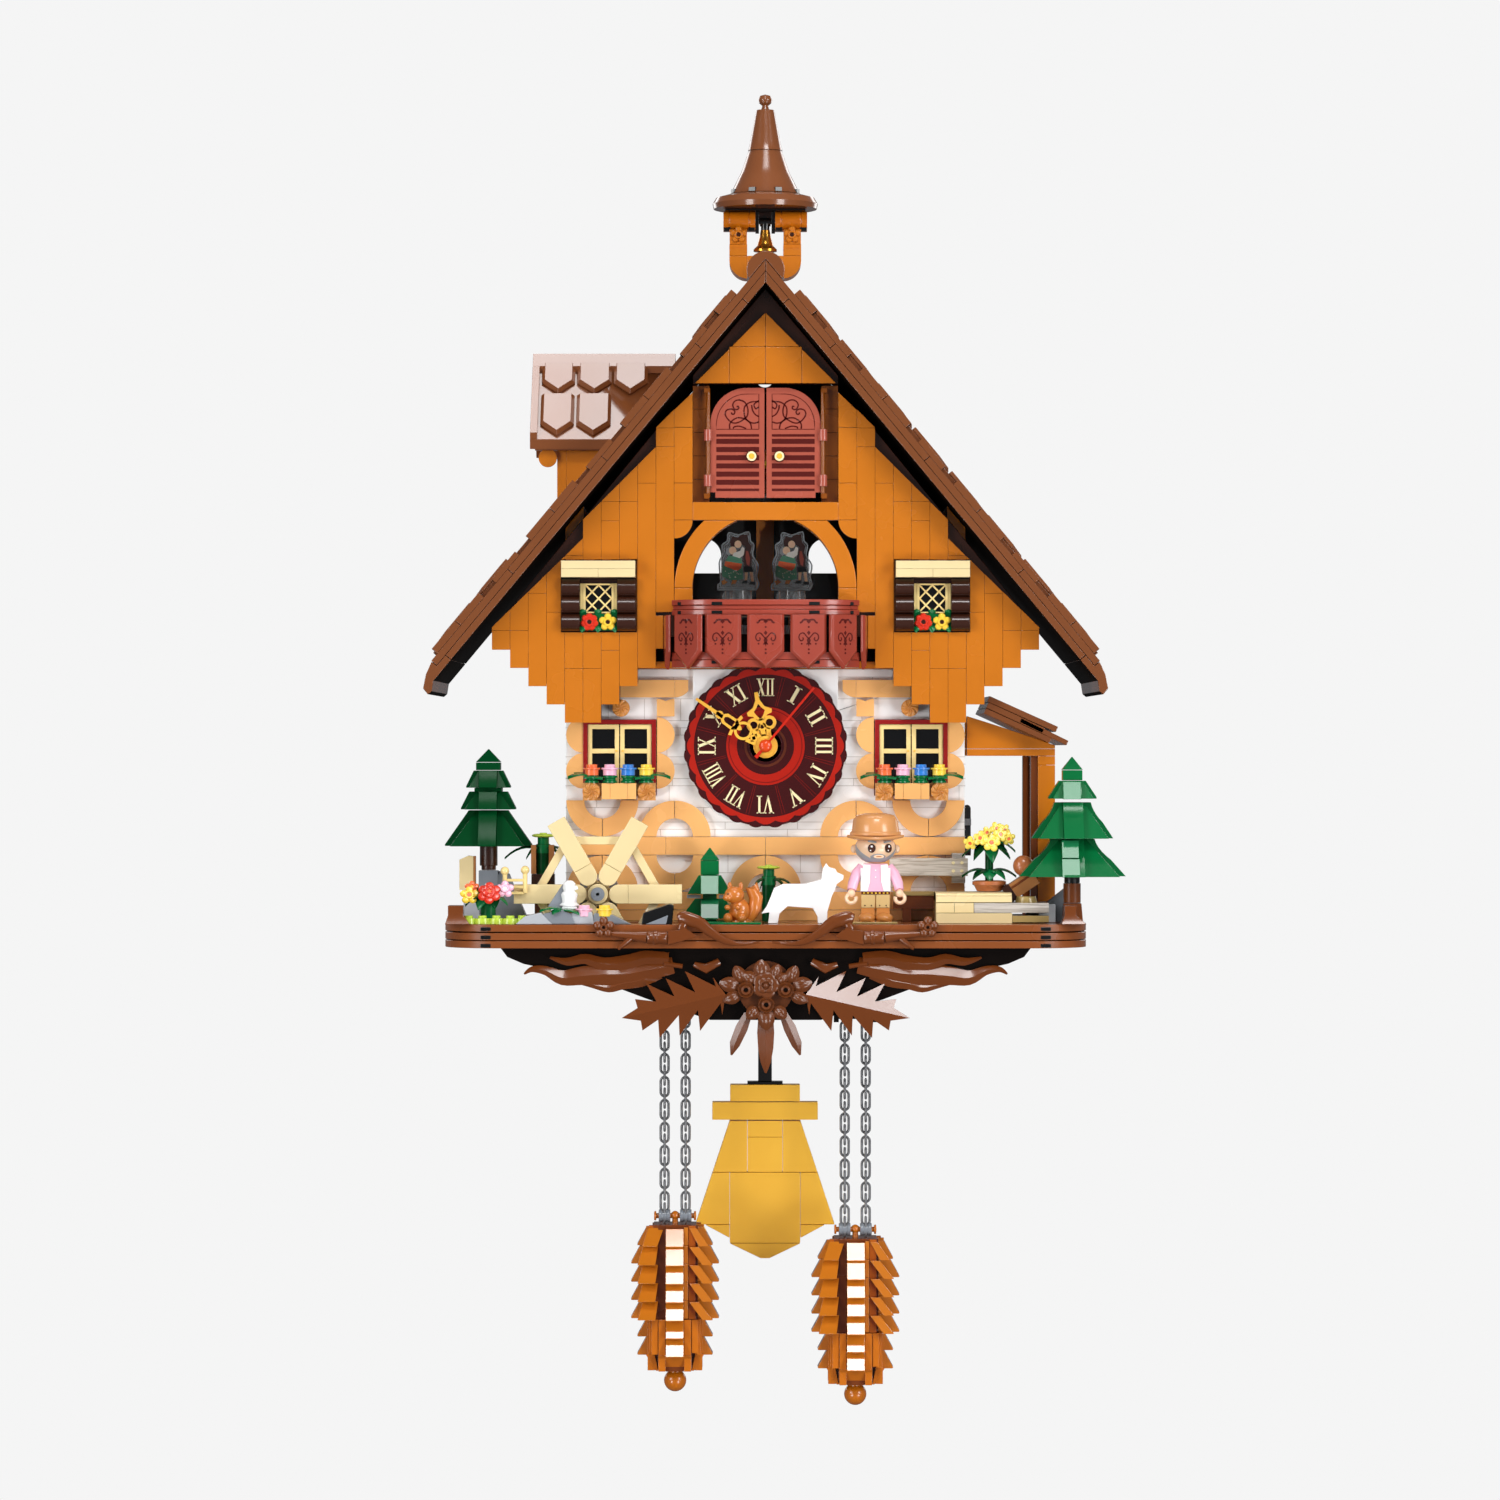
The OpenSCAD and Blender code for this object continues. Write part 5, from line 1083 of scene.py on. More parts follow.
def make_man():
    """A small generic toy figure in a hat, a shirt, a white waistcoat and short trousers."""
    x, y = 47.7, -124
    p = Part("toy_man", "clock", "hat")
    p.rev([(0, -197.2), (4.6, -197.3), (8.2, -198.2), (9.6, -200), (10.2, -204.2), (10.6, -206.2), (10.9, -206.8)],
          "z", (x, y, 0), 40)
    p.rev([(10.5, -205.2), (11.1, -205.6), (11.1, -206.8), (10.5, -207.0)], "z", (x, y, 0), 40)
    rows = []
    for r, h in ((10.5, -207.2), (12.3, -207.6), (12.55, -208.1), (12.2, -208.7), (9.4, -209.2), (0.2, -208.8)):
        for k in range(40):
            a = 2 * PI * k / 40
            rows.append((x + r * math.cos(a), y + r * math.sin(a), h + 0.9 * abs(math.cos(a)) ** 2 * (r / 12.5) ** 2))
    p.mesh(rows, [[40 * i + k, 40 * i + (k + 1) % 40, 40 * i + 40 + (k + 1) % 40, 40 * i + 40 + k]
                  for i in range(5) for k in range(40)])
    p.use("skin").ball((x, y, -212.4), 8.9, 1, 0.94, 0.76, 32)
    for s in (-1, 1):
        p.ball((x + s * 9.2, y, -212.8), 1.9, 0.8, 0.6, 1.0, 14)
    head = (8.9, 8.9 * 0.94, 8.9 * 0.76)

    def on_head(a, e, out=1.012):
        """A point just outside the head: a degrees round from the front, e degrees up."""
        a, e = math.radians(a - 82), math.radians(e)
        return (x + head[0] * out * math.cos(e) * math.cos(a), y + head[1] * out * math.cos(e) * math.sin(a),
                -212.4 + head[2] * out * math.sin(e))

    def patch(low, high, steps=24, rows=5, reach=88):
        """A thin shell on the head between two lines of elevation given along the turn."""
        verts = []
        for i in range(rows + 1):
            for k in range(steps + 1):
                a = -reach + 2 * reach * k / steps
                lo, hi = low(abs(a)), high(abs(a))
                verts.append(on_head(a, lo + (hi - lo) * i / rows))
        w = steps + 1
        p.mesh(verts, [[w * i + k, w * i + k + 1, w * i + w + k + 1, w * i + w + k]
                       for i in range(rows) for k in range(steps)])

    p.use("beard")
    patch(lambda a: -62, lambda a: -40 + 62 * max(0, (a - 26) / 62) ** 1.1)
    patch(lambda a: -40, lambda a: -20 - 0.016 * a * a, reach=26)
    p.at(x + 1.3, y - 7.1, -216.0, rz=8)
    p.use("skin").prism(ellipse(0, 0, 2.3, 0.75), -0.5, 1.2)
    p.use("terracotta").prism(ellipse(0, 0, 1.3, 0.24), -0.65, 0)
    for s in (-1, 1):
        off = 1.85 + s * 3.6
        p.at(x + off, y - 8.366 * math.sqrt(1 - (off / 8.9) ** 2), -212.4, rz=math.degrees(math.asin(off / 8.9)))
        p.use("dark_brown").prism(ellipse(0, 0, 1.7, 1.95), -0.42, 1.2)
        p.use("eye").prism(ellipse(0, -0.1, 1.3, 1.55), -0.5, 0)
        p.use("white").prism(ellipse(0.1, 0.8, 0.5, 0.5), -0.58, 0)
        p.prism(ellipse(-0.4, -0.9, 0.28, 0.28), -0.58, 0)
        p.use("beard").prism([(-s * 1.9, 2.9), (s * 1.7, 3.3), (s * 1.7, 2.8), (-s * 1.9, 2.3)], -0.1, 1.2)
    p.at()
    p.use("pink")
    frustum(p, x, y, -231.2, -219.2, 6.4, 4.4, 5.2, 4.0)
    p.use("white")
    for s in (-1, 1):
        p.prism([(x + s * 2.2, -219.8), (x + s * 5.3, -219.4), (x + s * 6.5, -231), (x + s * 3.6, -231.2),
                 (x + s * 2.4, -227)], y - 4.75, y - 4.0)
        p.box((x + s * 5.9 - 0.6, y - 4, -231), (x + s * 5.9 + 0.6, y + 4.2, -221))
    for z in (-222, -225):
        p.cyl((x, y - 4.7, z), 0.35, 0.6, "y", 10)
    p.use("dusty_dark").box((x - 6.2, y - 4.6, -232.4), (x + 6.2, y + 4.4, -231.3))
    p.use("yellow")
    for k in range(7):
        p.box((x - 5.4 + 1.7 * k, y - 4.8, -232.1), (x - 4.6 + 1.7 * k, y - 4.5, -231.6))
    for s in (-1, 1):
        p.use("trousers")
        frustum(p, x + s * 3.2, y, -238.2, -232.5, 2.9, 4.0, 3.0, 4.2)
        p.use("dark_brown")
        for dx in (-1.4, 1.4):
            p.cyl((x + s * 3.2 + dx, y - 4.35, -237.3), 0.3, 0.6, "y", 8)
        p.use("boots")
        frustum(p, x + s * 3.3, y, -241.4, -238.4, 2.9, 3.4, 2.8, 3.6)
        p.ball((x + s * 3.7, y - 1.6, -242.6), 3.6, 1.1, 1.5, 0.68, 20)
        p.box((x + s * 3.6 - 3.3, y - 4.8, GROUND), (x + s * 3.6 + 3.3, y + 3.4, -244))
        p.use("pink").tube([(x + s * 5.6, y, -220.6), (x + s * 8.0, y - 0.6, -223.6), (x + s * 9.8, y - 2, -228),
                            (x + s * 10.3, y - 3.2, -230.6)], [2.3, 2.5, 2.3, 2.0], 16)
        p.use("skin").ball((x + s * 10.5, y - 3.6, -232), 1.8, seg=14)
        p.tube([(x + s * (10.6 + 2.1 * math.sin(t)), y - 4.0, -234.2 + 2.0 * math.cos(t))
                for t in [0.5 + 0.42 * k for k in range(12)]], 0.85, 8)
    p.done(bevel=0.25, smooth=45, replaces="man")


def make_animals():
    dog = [(1, -245), (5.2, -245), (6, -240.8), (9.4, -237.6), (20.4, -238.4), (22.4, -242), (22.6, -245), (26.6, -245),
           (26.8, -240), (28.6, -233.4), (30.2, -230), (30.7, -228), (33.6, -226), (33.8, -224.1), (31, -222.9),
           (30.2, -221.4), (27.4, -220.5), (26.2, -218.8), (24.8, -221.2), (24, -226), (17.2, -227.8), (7.4, -227.9),
           (3.6, -229.6), (2.2, -233.4), (0.4, -237.6), (-2, -240.8), (1.6, -240.2)]
    p = Part("white_dog", "clock", "white")
    p.prism(dog, -131, -125)
    p.use("white").rev([(0, -237.4), (4.2, -237.4), (4.4, -236.8), (3.2, -235.8), (3.3, -234), (3.7, -232.4),
                        (3.1, -231.4), (2.4, -231), (2.9, -229.6), (2.7, -227.6), (1.5, -226.4), (0, -226.2)],
                       "z", (-85, -134, 0), 24)
    p.box((-88, -139, -238.6), (-81.6, -130, -237.5))
    frustum(p, -82.4, -135.4, -230.2, -228.6, 1.4, 0.6, 0.9, 0.4)
    p.done(bevel=0.5, replaces="animals")
    q = Part("squirrel", "clock", "squirrel")
    x, y = -11, -128
    q.cyl((x, y, GROUND), 5.2, 1.2, r1=4.9)
    q.ball((x - 0.4, y, -239.4), 4.8, 0.95, 0.9, 1.15, 24)
    q.ball((x - 2.6, y - 2.2, -232.6), 4.1, 1.05, 0.9, 0.9, 24)
    q.ball((x - 5.4, y - 4.4, -233.8), 2.0, 1.1, 1, 0.8, 16)
    for s in (-1, 1):
        q.ball((x - 2.2 + s * 2.4, y - 1.4, -229), 1.3, 0.8, 0.6, 1.5, 12)
        q.ball((x - 2.4 + s * 3.0, y - 3.2, -242.6), 2.5, 0.8, 1.2, 0.9, 16)
        q.ball((x - 3.4 + s * 2.2, y - 4.2, -238), 1.5, 0.9, 1.3, 0.8, 12)
    q.tube([(x + 4, y + 1, -243.4), (x + 6.2, y + 1, -239), (x + 6.8, y + 1, -233.8), (x + 4.6, y + 1, -229.8),
            (x + 6.6, y + 0.6, -228.8), (x + 7.6, y, -231)], [2.0, 2.9, 3.1, 2.6, 1.8, 0.8], 14)
    q.use("dark_brown")
    q.ball((x - 5.4, y - 5.0, -232.2), 0.5, seg=10)
    q.ball((x - 1.4, y - 5.2, -232.2), 0.5, seg=10)
    q.done(bevel=0, smooth=60)


def make_plants():
    p = Part("yard_plants", "clock", "green")
    x, y = -120.5, -128
    p.use("lime")
    for dx, dy in ((-8, -8), (-2, -9), (4, -8), (10, -9), (15, -7)):
        p.cyl((x + dx, y + dy, GROUND), 3.6, 2.4, r1=3.3)
        p.cyl((x + dx, y + dy, -242.7), 1.8, 1.3)
    p.use("green").cyl((x, y, GROUND), 3.4, 10)
    p.use("dark_green").tube([(x, y, -236), (x - 0.4, y, -231)], [2.4, 2.0], 12)
    for a, r, z in ((200, 10.5, -237), (245, 9.5, -238.5), (290, 10, -238), (335, 9.5, -236.5), (25, 9, -232.5),
                    (150, 8.5, -230.5)):
        t = math.radians(a)
        p.use("green" if a % 2 else "dark_green")
        leaf(p, (x + math.cos(t), y + math.sin(t), -234), (x + r * math.cos(t), y + r * 0.7 * math.sin(t), z), 7.5, 2.4)
    bloom(p, x + 0.8, y - 5.4, -232, 5.2, "red", "red", 6, rx=-28)
    bloom(p, x + 0.8, y - 6.9, -231.2, 3.2, "red", "coral", 5, rx=-28, ry=30)
    bloom(p, x - 8, y - 2.6, -233, 4.2, "yellow", "coral", 5, rx=-24)
    bloom(p, x - 7, y - 0.4, -229.6, 3.2, "coral", "yellow", 5, rx=-30)
    bloom(p, x + 7.4, y - 1.6, -230.4, 4.0, "pink", "white", 5, rx=-24)
    # stalks with a lime flower
    for sx, sy, z1 in ((-97.4, -105, -208), (1.4, -104, -222)):
        p.use("dark_green").cyl((sx, sy, GROUND), 3.0, z1 - GROUND - 3)
        p.use("green").rev([(0, z1 - 7), (3.2, z1 - 7), (3.2, z1 - 3.2), (2.5, z1 - 3), (2.5, z1), (0, z1)], "z",
                           (sx, sy, 0), 24)
        for a in range(5):
            t = math.radians(72 * a + 20)
            p.use("lime").ball((sx + 2.7 * math.cos(t), sy + 2.7 * math.sin(t), z1 + 0.7), 2.5, 1, 0.8, 0.32, 14)
        p.cyl((sx, sy, z1), 1.6, 1.9)
        p.use("dark_green")
        for a, r in ((8, 12), (176, 17 if sx < -50 else 4), (215, 9), (330, 9)):
            t = math.radians(a)
            leaf(p, (sx, sy, z1 - 6), (sx + r * math.cos(t), sy + r * 0.5 * math.sin(t) - 1, z1 - 9), 3.6, 3.4)
    p.use("tan_dark")
    for dx in (-5.2, 2.6):
        p.box((-97.4 + dx, -109.8, -224), (-95.2 + dx, -103, -211.4))
    p.use("dark_brown").box((-102.4, -111, -233), (-92.4, -101, -224.2))
    p.use("brown").box((-101, -110, GROUND), (-94, -102, -233.2))
    # yellow flowers in a pot
    x, y = 98, -106
    p.use("terracotta").rev([(0, -231.6), (5.4, -231.6), (6.6, -229.2), (7.4, -228.8), (7.4, -227.4), (6.6, -227),
                             (5.6, -227.6), (0, -227.8)], "z", (x, y, 0), 36)
    p.use("dark_green").cyl((x, y, -228), 1.8, 16)
    for a, r, z, z0 in ((175, 12, -225, -223), (215, 9, -226, -223), (270, 8, -226.4, -223), (320, 9, -226, -223),
                        (5, 12, -225, -223), (185, 12, -216, -210), (225, 10, -217.5, -210), (280, 8, -218.5, -210),
                        (325, 11, -217, -210), (0, 11.5, -214, -210), (140, 9, -212, -209), (40, 9, -212, -209)):
        t = math.radians(a)
        p.use("green" if a % 10 == 0 else "dark_green")
        leaf(p, (x, y, z0), (x + r * math.cos(t), y + r * 0.8 * math.sin(t), z), 7, 2.2)
    for dx, dy, z, r in ((-8.4, -4, -210.4, 3.2), (-4, -6, -208.4, 3.4), (0.6, -7, -210.6, 4.0), (4.4, -5, -206.8, 3.4),
                         (8.2, -3, -208.4, 3.2), (3, -2, -204.4, 3.2), (6.4, -1, -204.8, 2.8), (-1, -3, -206.2, 3.0)):
        bloom(p, x + dx, y + dy, z, r, "bright_yellow", "coral", 5, rx=-20, ry=17 * dx)
    # small round flowers and leaves on the rocks
    for fx, mat in ((-78.4, "pink"), (-69.6, "yellow")):
        stud_flower(p, fx, -139.4, -241.6, mat)
    p.use("green")
    for a, b in (((-88, -140, -238.4), (-97.6, -140.6, -239.2)), ((-88, -140, -239), (-80.4, -142.4, -240.4)),
                 ((-89, -141, -239.2), (-92, -143.6, -240.2))):
        leaf(p, a, b, 5.5, 1.2)
    p.done(bevel=0.1, smooth=40, replaces="plants")


def make_rocks():
    p = Part("grey_rocks", "clock", "grey")
    y0 = -143
    faces = [[(-108, GROUND), (-104, -241.6), (-97, -240), (-92, GROUND)],
             [(-97, GROUND), (-96, -240.4), (-88, -238.8), (-84, -240.4), (-82, GROUND)],
             [(-86, GROUND), (-84, -240.2), (-75, -239.6), (-74, GROUND)],
             [(-76, GROUND), (-74, -240.2), (-66, -241), (-58, GROUND)]]
    for i, f in enumerate(faces):
        p.use("grey" if i % 2 else "light_grey").prism(f, y0 + 0.6 * i, y0 + 14 - i)
    p.use("grey")
    frustum(p, -88, -131, -238.6, -228, 7, 4.4, 1.6, 1.2, dx=1.5)
    p.mesh([(-131, -110, GROUND), (-104, -110, GROUND), (-104, -94, GROUND), (-131, -94, GROUND),
            (-116, -106, -222.6), (-112, -106, -224), (-113, -97, -224), (-118, -97, -223)],
           [[0, 1, 2, 3], [4, 5, 6, 7], [0, 1, 5, 4], [1, 2, 6, 5], [2, 3, 7, 6], [3, 0, 4, 7]])
    p.use("light_grey").box((-132, -112, GROUND), (-125, -102, -231))
    p.use("black").prism([(-53.6, -245), (-40.4, -245), (-39.8, -236.8), (-41.4, -236.2), (-53, -240.2)], -142, -128)
    p.use("grey").prism([(-52, -245), (-43, -245), (-42, -241)], -143, -142.1)
    p.use("grey").prism([(108, -245), (134, -245), (133, -229), (124, -236)], -104, -99)
    p.use("light_grey").box((119, -118, GROUND), (126.4, -99, -237))
    p.done(bevel=0.35, replaces="rocks")


def make_bench():
    p = Part("steps_and_bench", "clock", "cream")
    layers = [((74, -128, GROUND), (107, -98, -240.7), "cream"), ((107.1, -127.6, -244.6), (123, -98, -241.8), "sand"),
              ((90.6, -126, -240.5), (123, -98, -236.3), "sage"), ((74, -126.4, -240.5), (90.4, -98, -236.3), "cream"),
              ((74, -124, -236.1), (107, -98, -232.2), "cream")]
    for a, b, mat in layers:
        p.use(mat).box(a, b)
    p.use("cream").prism([(-125.6, -236), (-125.6, -233.6), (-122.6, -231.9), (-98, -231.9), (-98, -236)], 74, 107,
                         "yz")
    p.use("dark_brown").box((81.9, -126.5, -240.4), (82.05, -120, -236.4))
    p.use("sand").box((56, -105.6, -233.6), (73.8, -92, -231.8))
    p.use("brown").box((56, -105, -239.4), (73.8, -104, -233.8))
    p.box((60, -104.9, GROUND), (64, -92, -233.8))
    p.done(bevel=0.2, replaces="bench_steps")
    q = Part("bench_back", "clock", "wood_print")
    q.box((54.5, -97.5, -225.2), (89, -94.5, -217.4))
    q.use("sage").box((82, -94.4, -228.4), (88, -93, -215.2))
    for bx in (82.6, 86.4):
        for bz in (-219.4, -223):
            q.use("numeral").cyl((bx, -97.9, bz), 0.75, 0.6, "y", 14)
    q.done(bevel=0.2)
    r = Part("logs_and_post", "clock", "brown")
    r.at(112, -110, -229, ry=-34)
    r.use("tan_dark").box((-8, -4.4, -3.4), (7, 4.4, 3.6))
    r.use("dark_brown").box((-8.2, -4.6, -3.7), (-4.6, 4.6, 3.9))
    r.use("brown").box((-4.4, -4.7, 1.2), (7.2, -4.35, 2.2))
    r.at()
    r.use("sand").rev([(0, -238.4), (4.2, -238.4), (4.9, -236), (4.2, -233.6), (0, -233.6)], "z", (113.6, -118, 0), 24)
    r.use("terracotta")
    r.ball((113, -106, -220.5), 4.6, 1, 0.8, 1, 20)
    r.use("cream")
    r.prism([(-134, -231), (-127, -231), (-127, -216.4), (-130, -216), (-134, -217.8)], -109, -106)
    r.use("tan_dark").box((-127.9, -109.2, -231), (-126.8, -105.8, -216.2))
    r.use("yellowish")
    for fx, z in ((-113.4, -222.4), (-104.6, -222)):
        r.cyl((fx, -124, -232), 1.0, z + 232)
        r.ball((fx, -124, z), 1.9, seg=14)
    for z in (-226.4, -229.4, -232):
        r.box((-112.6, -124.6, z - 0.6), (-105, -123.4, z + 0.6))
    r.done(bevel=0.2)


def make_deck_trim():
    p = Part("deck_corners", "clock", "brown")
    for s in (-1, 1):
        v = [(s * 138.4, -143.2), (s * 138.4, -131), (s * 127.6, -131), (s * 127.6, -143.2)]
        w = [(s * 137.2, -141.4), (s * 137.2, -132), (s * 130.6, -132), (s * 130.6, -141.4)]
        if s > 0:
            w = [(s * 134, -141.4), (s * 134, -132), (s * 129, -132), (s * 129, -141.4)]
        pts = [(a, b, -245) for a, b in v] + [(a, b, -241.2) for a, b in w] + [(a, b, -237) for a, b in w]
        p.mesh(pts, [[0, 1, 2, 3], [8, 9, 10, 11]]
               + [[4 * i + k, 4 * i + (k + 1) % 4, 4 * i + 4 + (k + 1) % 4, 4 * i + 4 + k]
                  for i in range(2) for k in range(4)])
    p.use("black")
    for s in (-1, 1):
        for z in (-247, -250.6, -254.2):
            p.box((s * 120.8 - 2.2, -144.12, z - 0.8), (s * 120.8 + 2.2, -143.6, z + 0.8))
    p.use("green").box((-36, -143, GROUND), (-2, -110, -244.2))
    p.use("sand").box((33, -136, GROUND), (57, -114, -244.3))
    p.use("lime").box((-112, -126, GROUND), (-60, -110, -244.6))
    p.done(bevel=0.2)


make_trees()
make_wheel()
make_man()
make_animals()
make_plants()
make_rocks()
make_bench()
make_deck_trim()


# ---------------------------------------------------------------- carved ornaments

def serrated_leaf(p, side, crease):
    """A big toothed leaf, folded along its rib; side is -1 on the left."""
    tip, root = (-62.2, -285.6), (-17.3, -275.4)
    upper = [(-55.4, -281.3), (-56.5, -277.5), (-47.2, -278.5), (-51.6, -270.9), (-39.4, -276.4), (-43.3, -268.5),
             (-30.5, -274.5), (-35.0, -265.4), (-21.6, -272.0), (-22.9, -267.9)]
    lower = [(-54.0, -286.8), (-53.3, -291.1), (-46.5, -286.4), (-46.0, -294.4), (-37.6, -284.5), (-37.3, -293.4),
             (-29.3, -282.2), (-28.4, -291.4), (-19.5, -279.2), (-18.8, -284.4)]
    dx, dz = root[0] - tip[0], root[1] - tip[1]
    long = math.hypot(dx, dz)
    for edge, fold in ((upper, crease), (lower, 0.3)):
        pts = [tip] + edge + [root]
        rise = [abs((q[0] - tip[0]) * dz - (q[1] - tip[1]) * dx) / long * fold for q in pts]
        verts = [(-side * q[0], -139.4 + d, q[1]) for q, d in zip(pts, rise)]
        verts += [(-side * q[0], -138.4 + d, q[1]) for q, d in zip(pts, rise)]
        n = len(pts)
        faces = [list(range(n)), list(range(2 * n - 1, n - 1, -1))]
        faces += [[i, (i + 1) % n, (i + 1) % n + n, i + n] for i in range(n)]
        p.mesh(verts, faces)


def blade(p, pts, widths, y, thick=1.0):
    """A long leaf with a raised rib along points in X and Z."""
    rows = []
    for i, q in enumerate(pts):
        a, b = pts[max(i - 1, 0)], pts[min(i + 1, len(pts) - 1)]
        d = math.hypot(b[0] - a[0], b[1] - a[1])
        nx, nz = -(b[1] - a[1]) / d, (b[0] - a[0]) / d
        w = widths[i] / 2
        rows += [(q[0] + nx * w, y, q[1] + nz * w), (q[0], y - 0.35 * w - 0.3, q[1]),
                 (q[0] - nx * w, y, q[1] - nz * w), (q[0], y + thick, q[1])]
    faces = [[4 * i + k, 4 * i + (k + 1) % 4, 4 * i + 4 + (k + 1) % 4, 4 * i + 4 + k]
             for i in range(len(pts) - 1) for k in range(4)]
    e = 4 * (len(pts) - 1)
    p.mesh(rows, faces + [[3, 2, 1, 0], [e, e + 1, e + 2, e + 3]])


def petal(p, x, z, a, b, turn, y=-139.2, lift=0.0):
    """A domed petal with a crease along its middle; it points towards `turn`."""
    p.at(x, y, z, ry=-turn, rx=lift)
    rows, seg = 7, 24
    verts = [(0, -1.2, 0)]
    for i in range(1, rows + 1):
        r = i / rows
        for k in range(seg):
            u, v = r * math.cos(2 * PI * k / seg), r * math.sin(2 * PI * k / seg)
            dome = -1.7 * math.cos(r * PI / 2) + 0.5 * max(0.0, 1 - abs(v) / 0.36) * (1 - r * r)
            verts.append((a * u * (1.12 if u > 0 else 1), dome, b * v * (1 - 0.3 * max(0.0, u) ** 2)))
    n = len(verts)
    verts += [(v[0], v[1] + 1.2, v[2]) for v in verts]
    faces = [[0, 1 + k, 1 + (k + 1) % seg] for k in range(seg)]
    for i in range(rows - 1):
        c, d = 1 + i * seg, 1 + (i + 1) * seg
        faces += [[c + k, d + k, d + (k + 1) % seg, c + (k + 1) % seg] for k in range(seg)]
    e = 1 + (rows - 1) * seg
    rim = [[e + k, e + (k + 1) % seg, n + e + (k + 1) % seg, n + e + k] for k in range(seg)]
    p.mesh(verts, faces + [[n + v for v in f[::-1]] for f in faces] + rim)
    p.at()


def make_keel_carving():
    p = Part("keel_leaf_carving", "clock", "brown")
    serrated_leaf(p, -1, 0.2)
    serrated_leaf(p, 1, 0.48)
    for s in (-1, 1):
        for pts, w, y in (
                ([(40, -263), (50, -264.8), (60, -266.6), (70, -266.8), (80, -267.6), (88, -268.4), (95, -265.4),
                  (101, -264.7), (104.6, -266.8)], (7, 9, 9.4, 9.4, 8, 6.4, 4, 2.6, 0.7), -134.4),
                ([(46, -266), (54, -269.4), (62, -271), (68, -272.6), (75, -271.4), (81.4, -270.6)],
                 (6, 6, 5, 4.4, 3, 0.8), -133.6),
                ([(42, -260), (52, -259.6), (60, -261.6), (70, -262.4), (78, -260.2), (86, -261.4), (93.4, -259.6)],
                 (5, 6, 6.4, 5.6, 4.4, 3.4, 0.8), -135.6)):
            pts = [(s * a, b) for a, b in pts]
            dense = smooth_path(pts, 4)
            ws = [w[min(int(i / 4), len(w) - 1)] + (w[min(int(i / 4) + 1, len(w) - 1)] - w[min(int(i / 4), len(w) - 1)])
                  * (i % 4) / 4 for i in range(len(dense))]
            blade(p, dense, ws, y)
        p.tube([(s * 44, -135.4, -262.2), (s * 36, -135.4, -263.4)], [1.1, 1.1], 10)
        p.tube([(s * 20, -134.6, -261.4), (s * 26, -135.6, -264.4), (s * 31, -135, -262.6)], [1.6, 2.2, 1.2], 10, 0.6)
        p.use("petal")
        blade(p, [(s * 7.6, -284), (s * 10.4, -290), (s * 13.4, -297), (s * 14.9, -301.8)], (3.6, 5.4, 4.6, 0.8), -136)
        p.use("brown")
    blade(p, [(0, -286), (0, -292), (0, -299), (0, -305), (0, -309.5)], (6.6, 7.4, 6.6, 4.4, 0.8), -136.6)
    p.use("petal")
    for x, z, u, v, t in ((11.5, -266.8, 3.7, 3.0, 64), (15.6, -271.2, 4.1, 3.4, 12), (14.4, -276.8, 3.8, 2.8, -22)):
        for s in (-1, 1):
            petal(p, s * x, z, u, v, t if s > 0 else 180 - t)
    for x, z, u, v, t in ((-1.7, -264.8, 4.0, 3.7, 97), (4.2, -265.9, 3.4, 2.8, 66), (-7, -268.2, 3.3, 3.0, 150),
                          (7, -268.6, 2.9, 2.6, 36), (-5.6, -283.4, 3.2, 2.9, -138), (6.2, -283.2, 3.2, 2.9, -42),
                          (0.2, -286, 4.4, 3.7, -90)):
        petal(p, x, z, u, v, t, y=-139.8)
    p.cyl((0, -136.6, -273), 12, 3, "y", 30)
    for x, z in ((-8.6, -273.4), (8.6, -273.4), (0.2, -279.8)):
        p.rev([(0.9, -140.8), (1.1, -142.4), (2.0, -142.6), (2.3, -141.8), (2.4, -140.8), (3.4, -141.4), (3.7, -140.6),
               (3.4, -138.6), (0, -138.4)], "y", (x, 0, z), 24)
    for ring, (r, n) in enumerate(((4.8, 5), (2.7, 4))):
        for k in range(n):
            t = 2 * PI * (k + 0.5 * ring) / n
            path = [(r * math.cos(t + d) * (1 - 0.18 * abs(d)), -140.3 - 0.75 * ring - 0.5 * abs(d),
                     -271.4 + r * math.sin(t + d) * (1 - 0.18 * abs(d))) for d in (-0.8, -0.4, 0, 0.4, 0.8)]
            p.tube(path, [0.6, 1.2, 1.4, 1.2, 0.6], 10, 0.8)
    p.ball((0, -142.2, -271.4), 1.2, seg=12)
    p.cyl((0, -141.4, -271.4), 4.6, 3, "y", 24)
    p.done(bevel=0, smooth=30, replaces="keel_leaves")


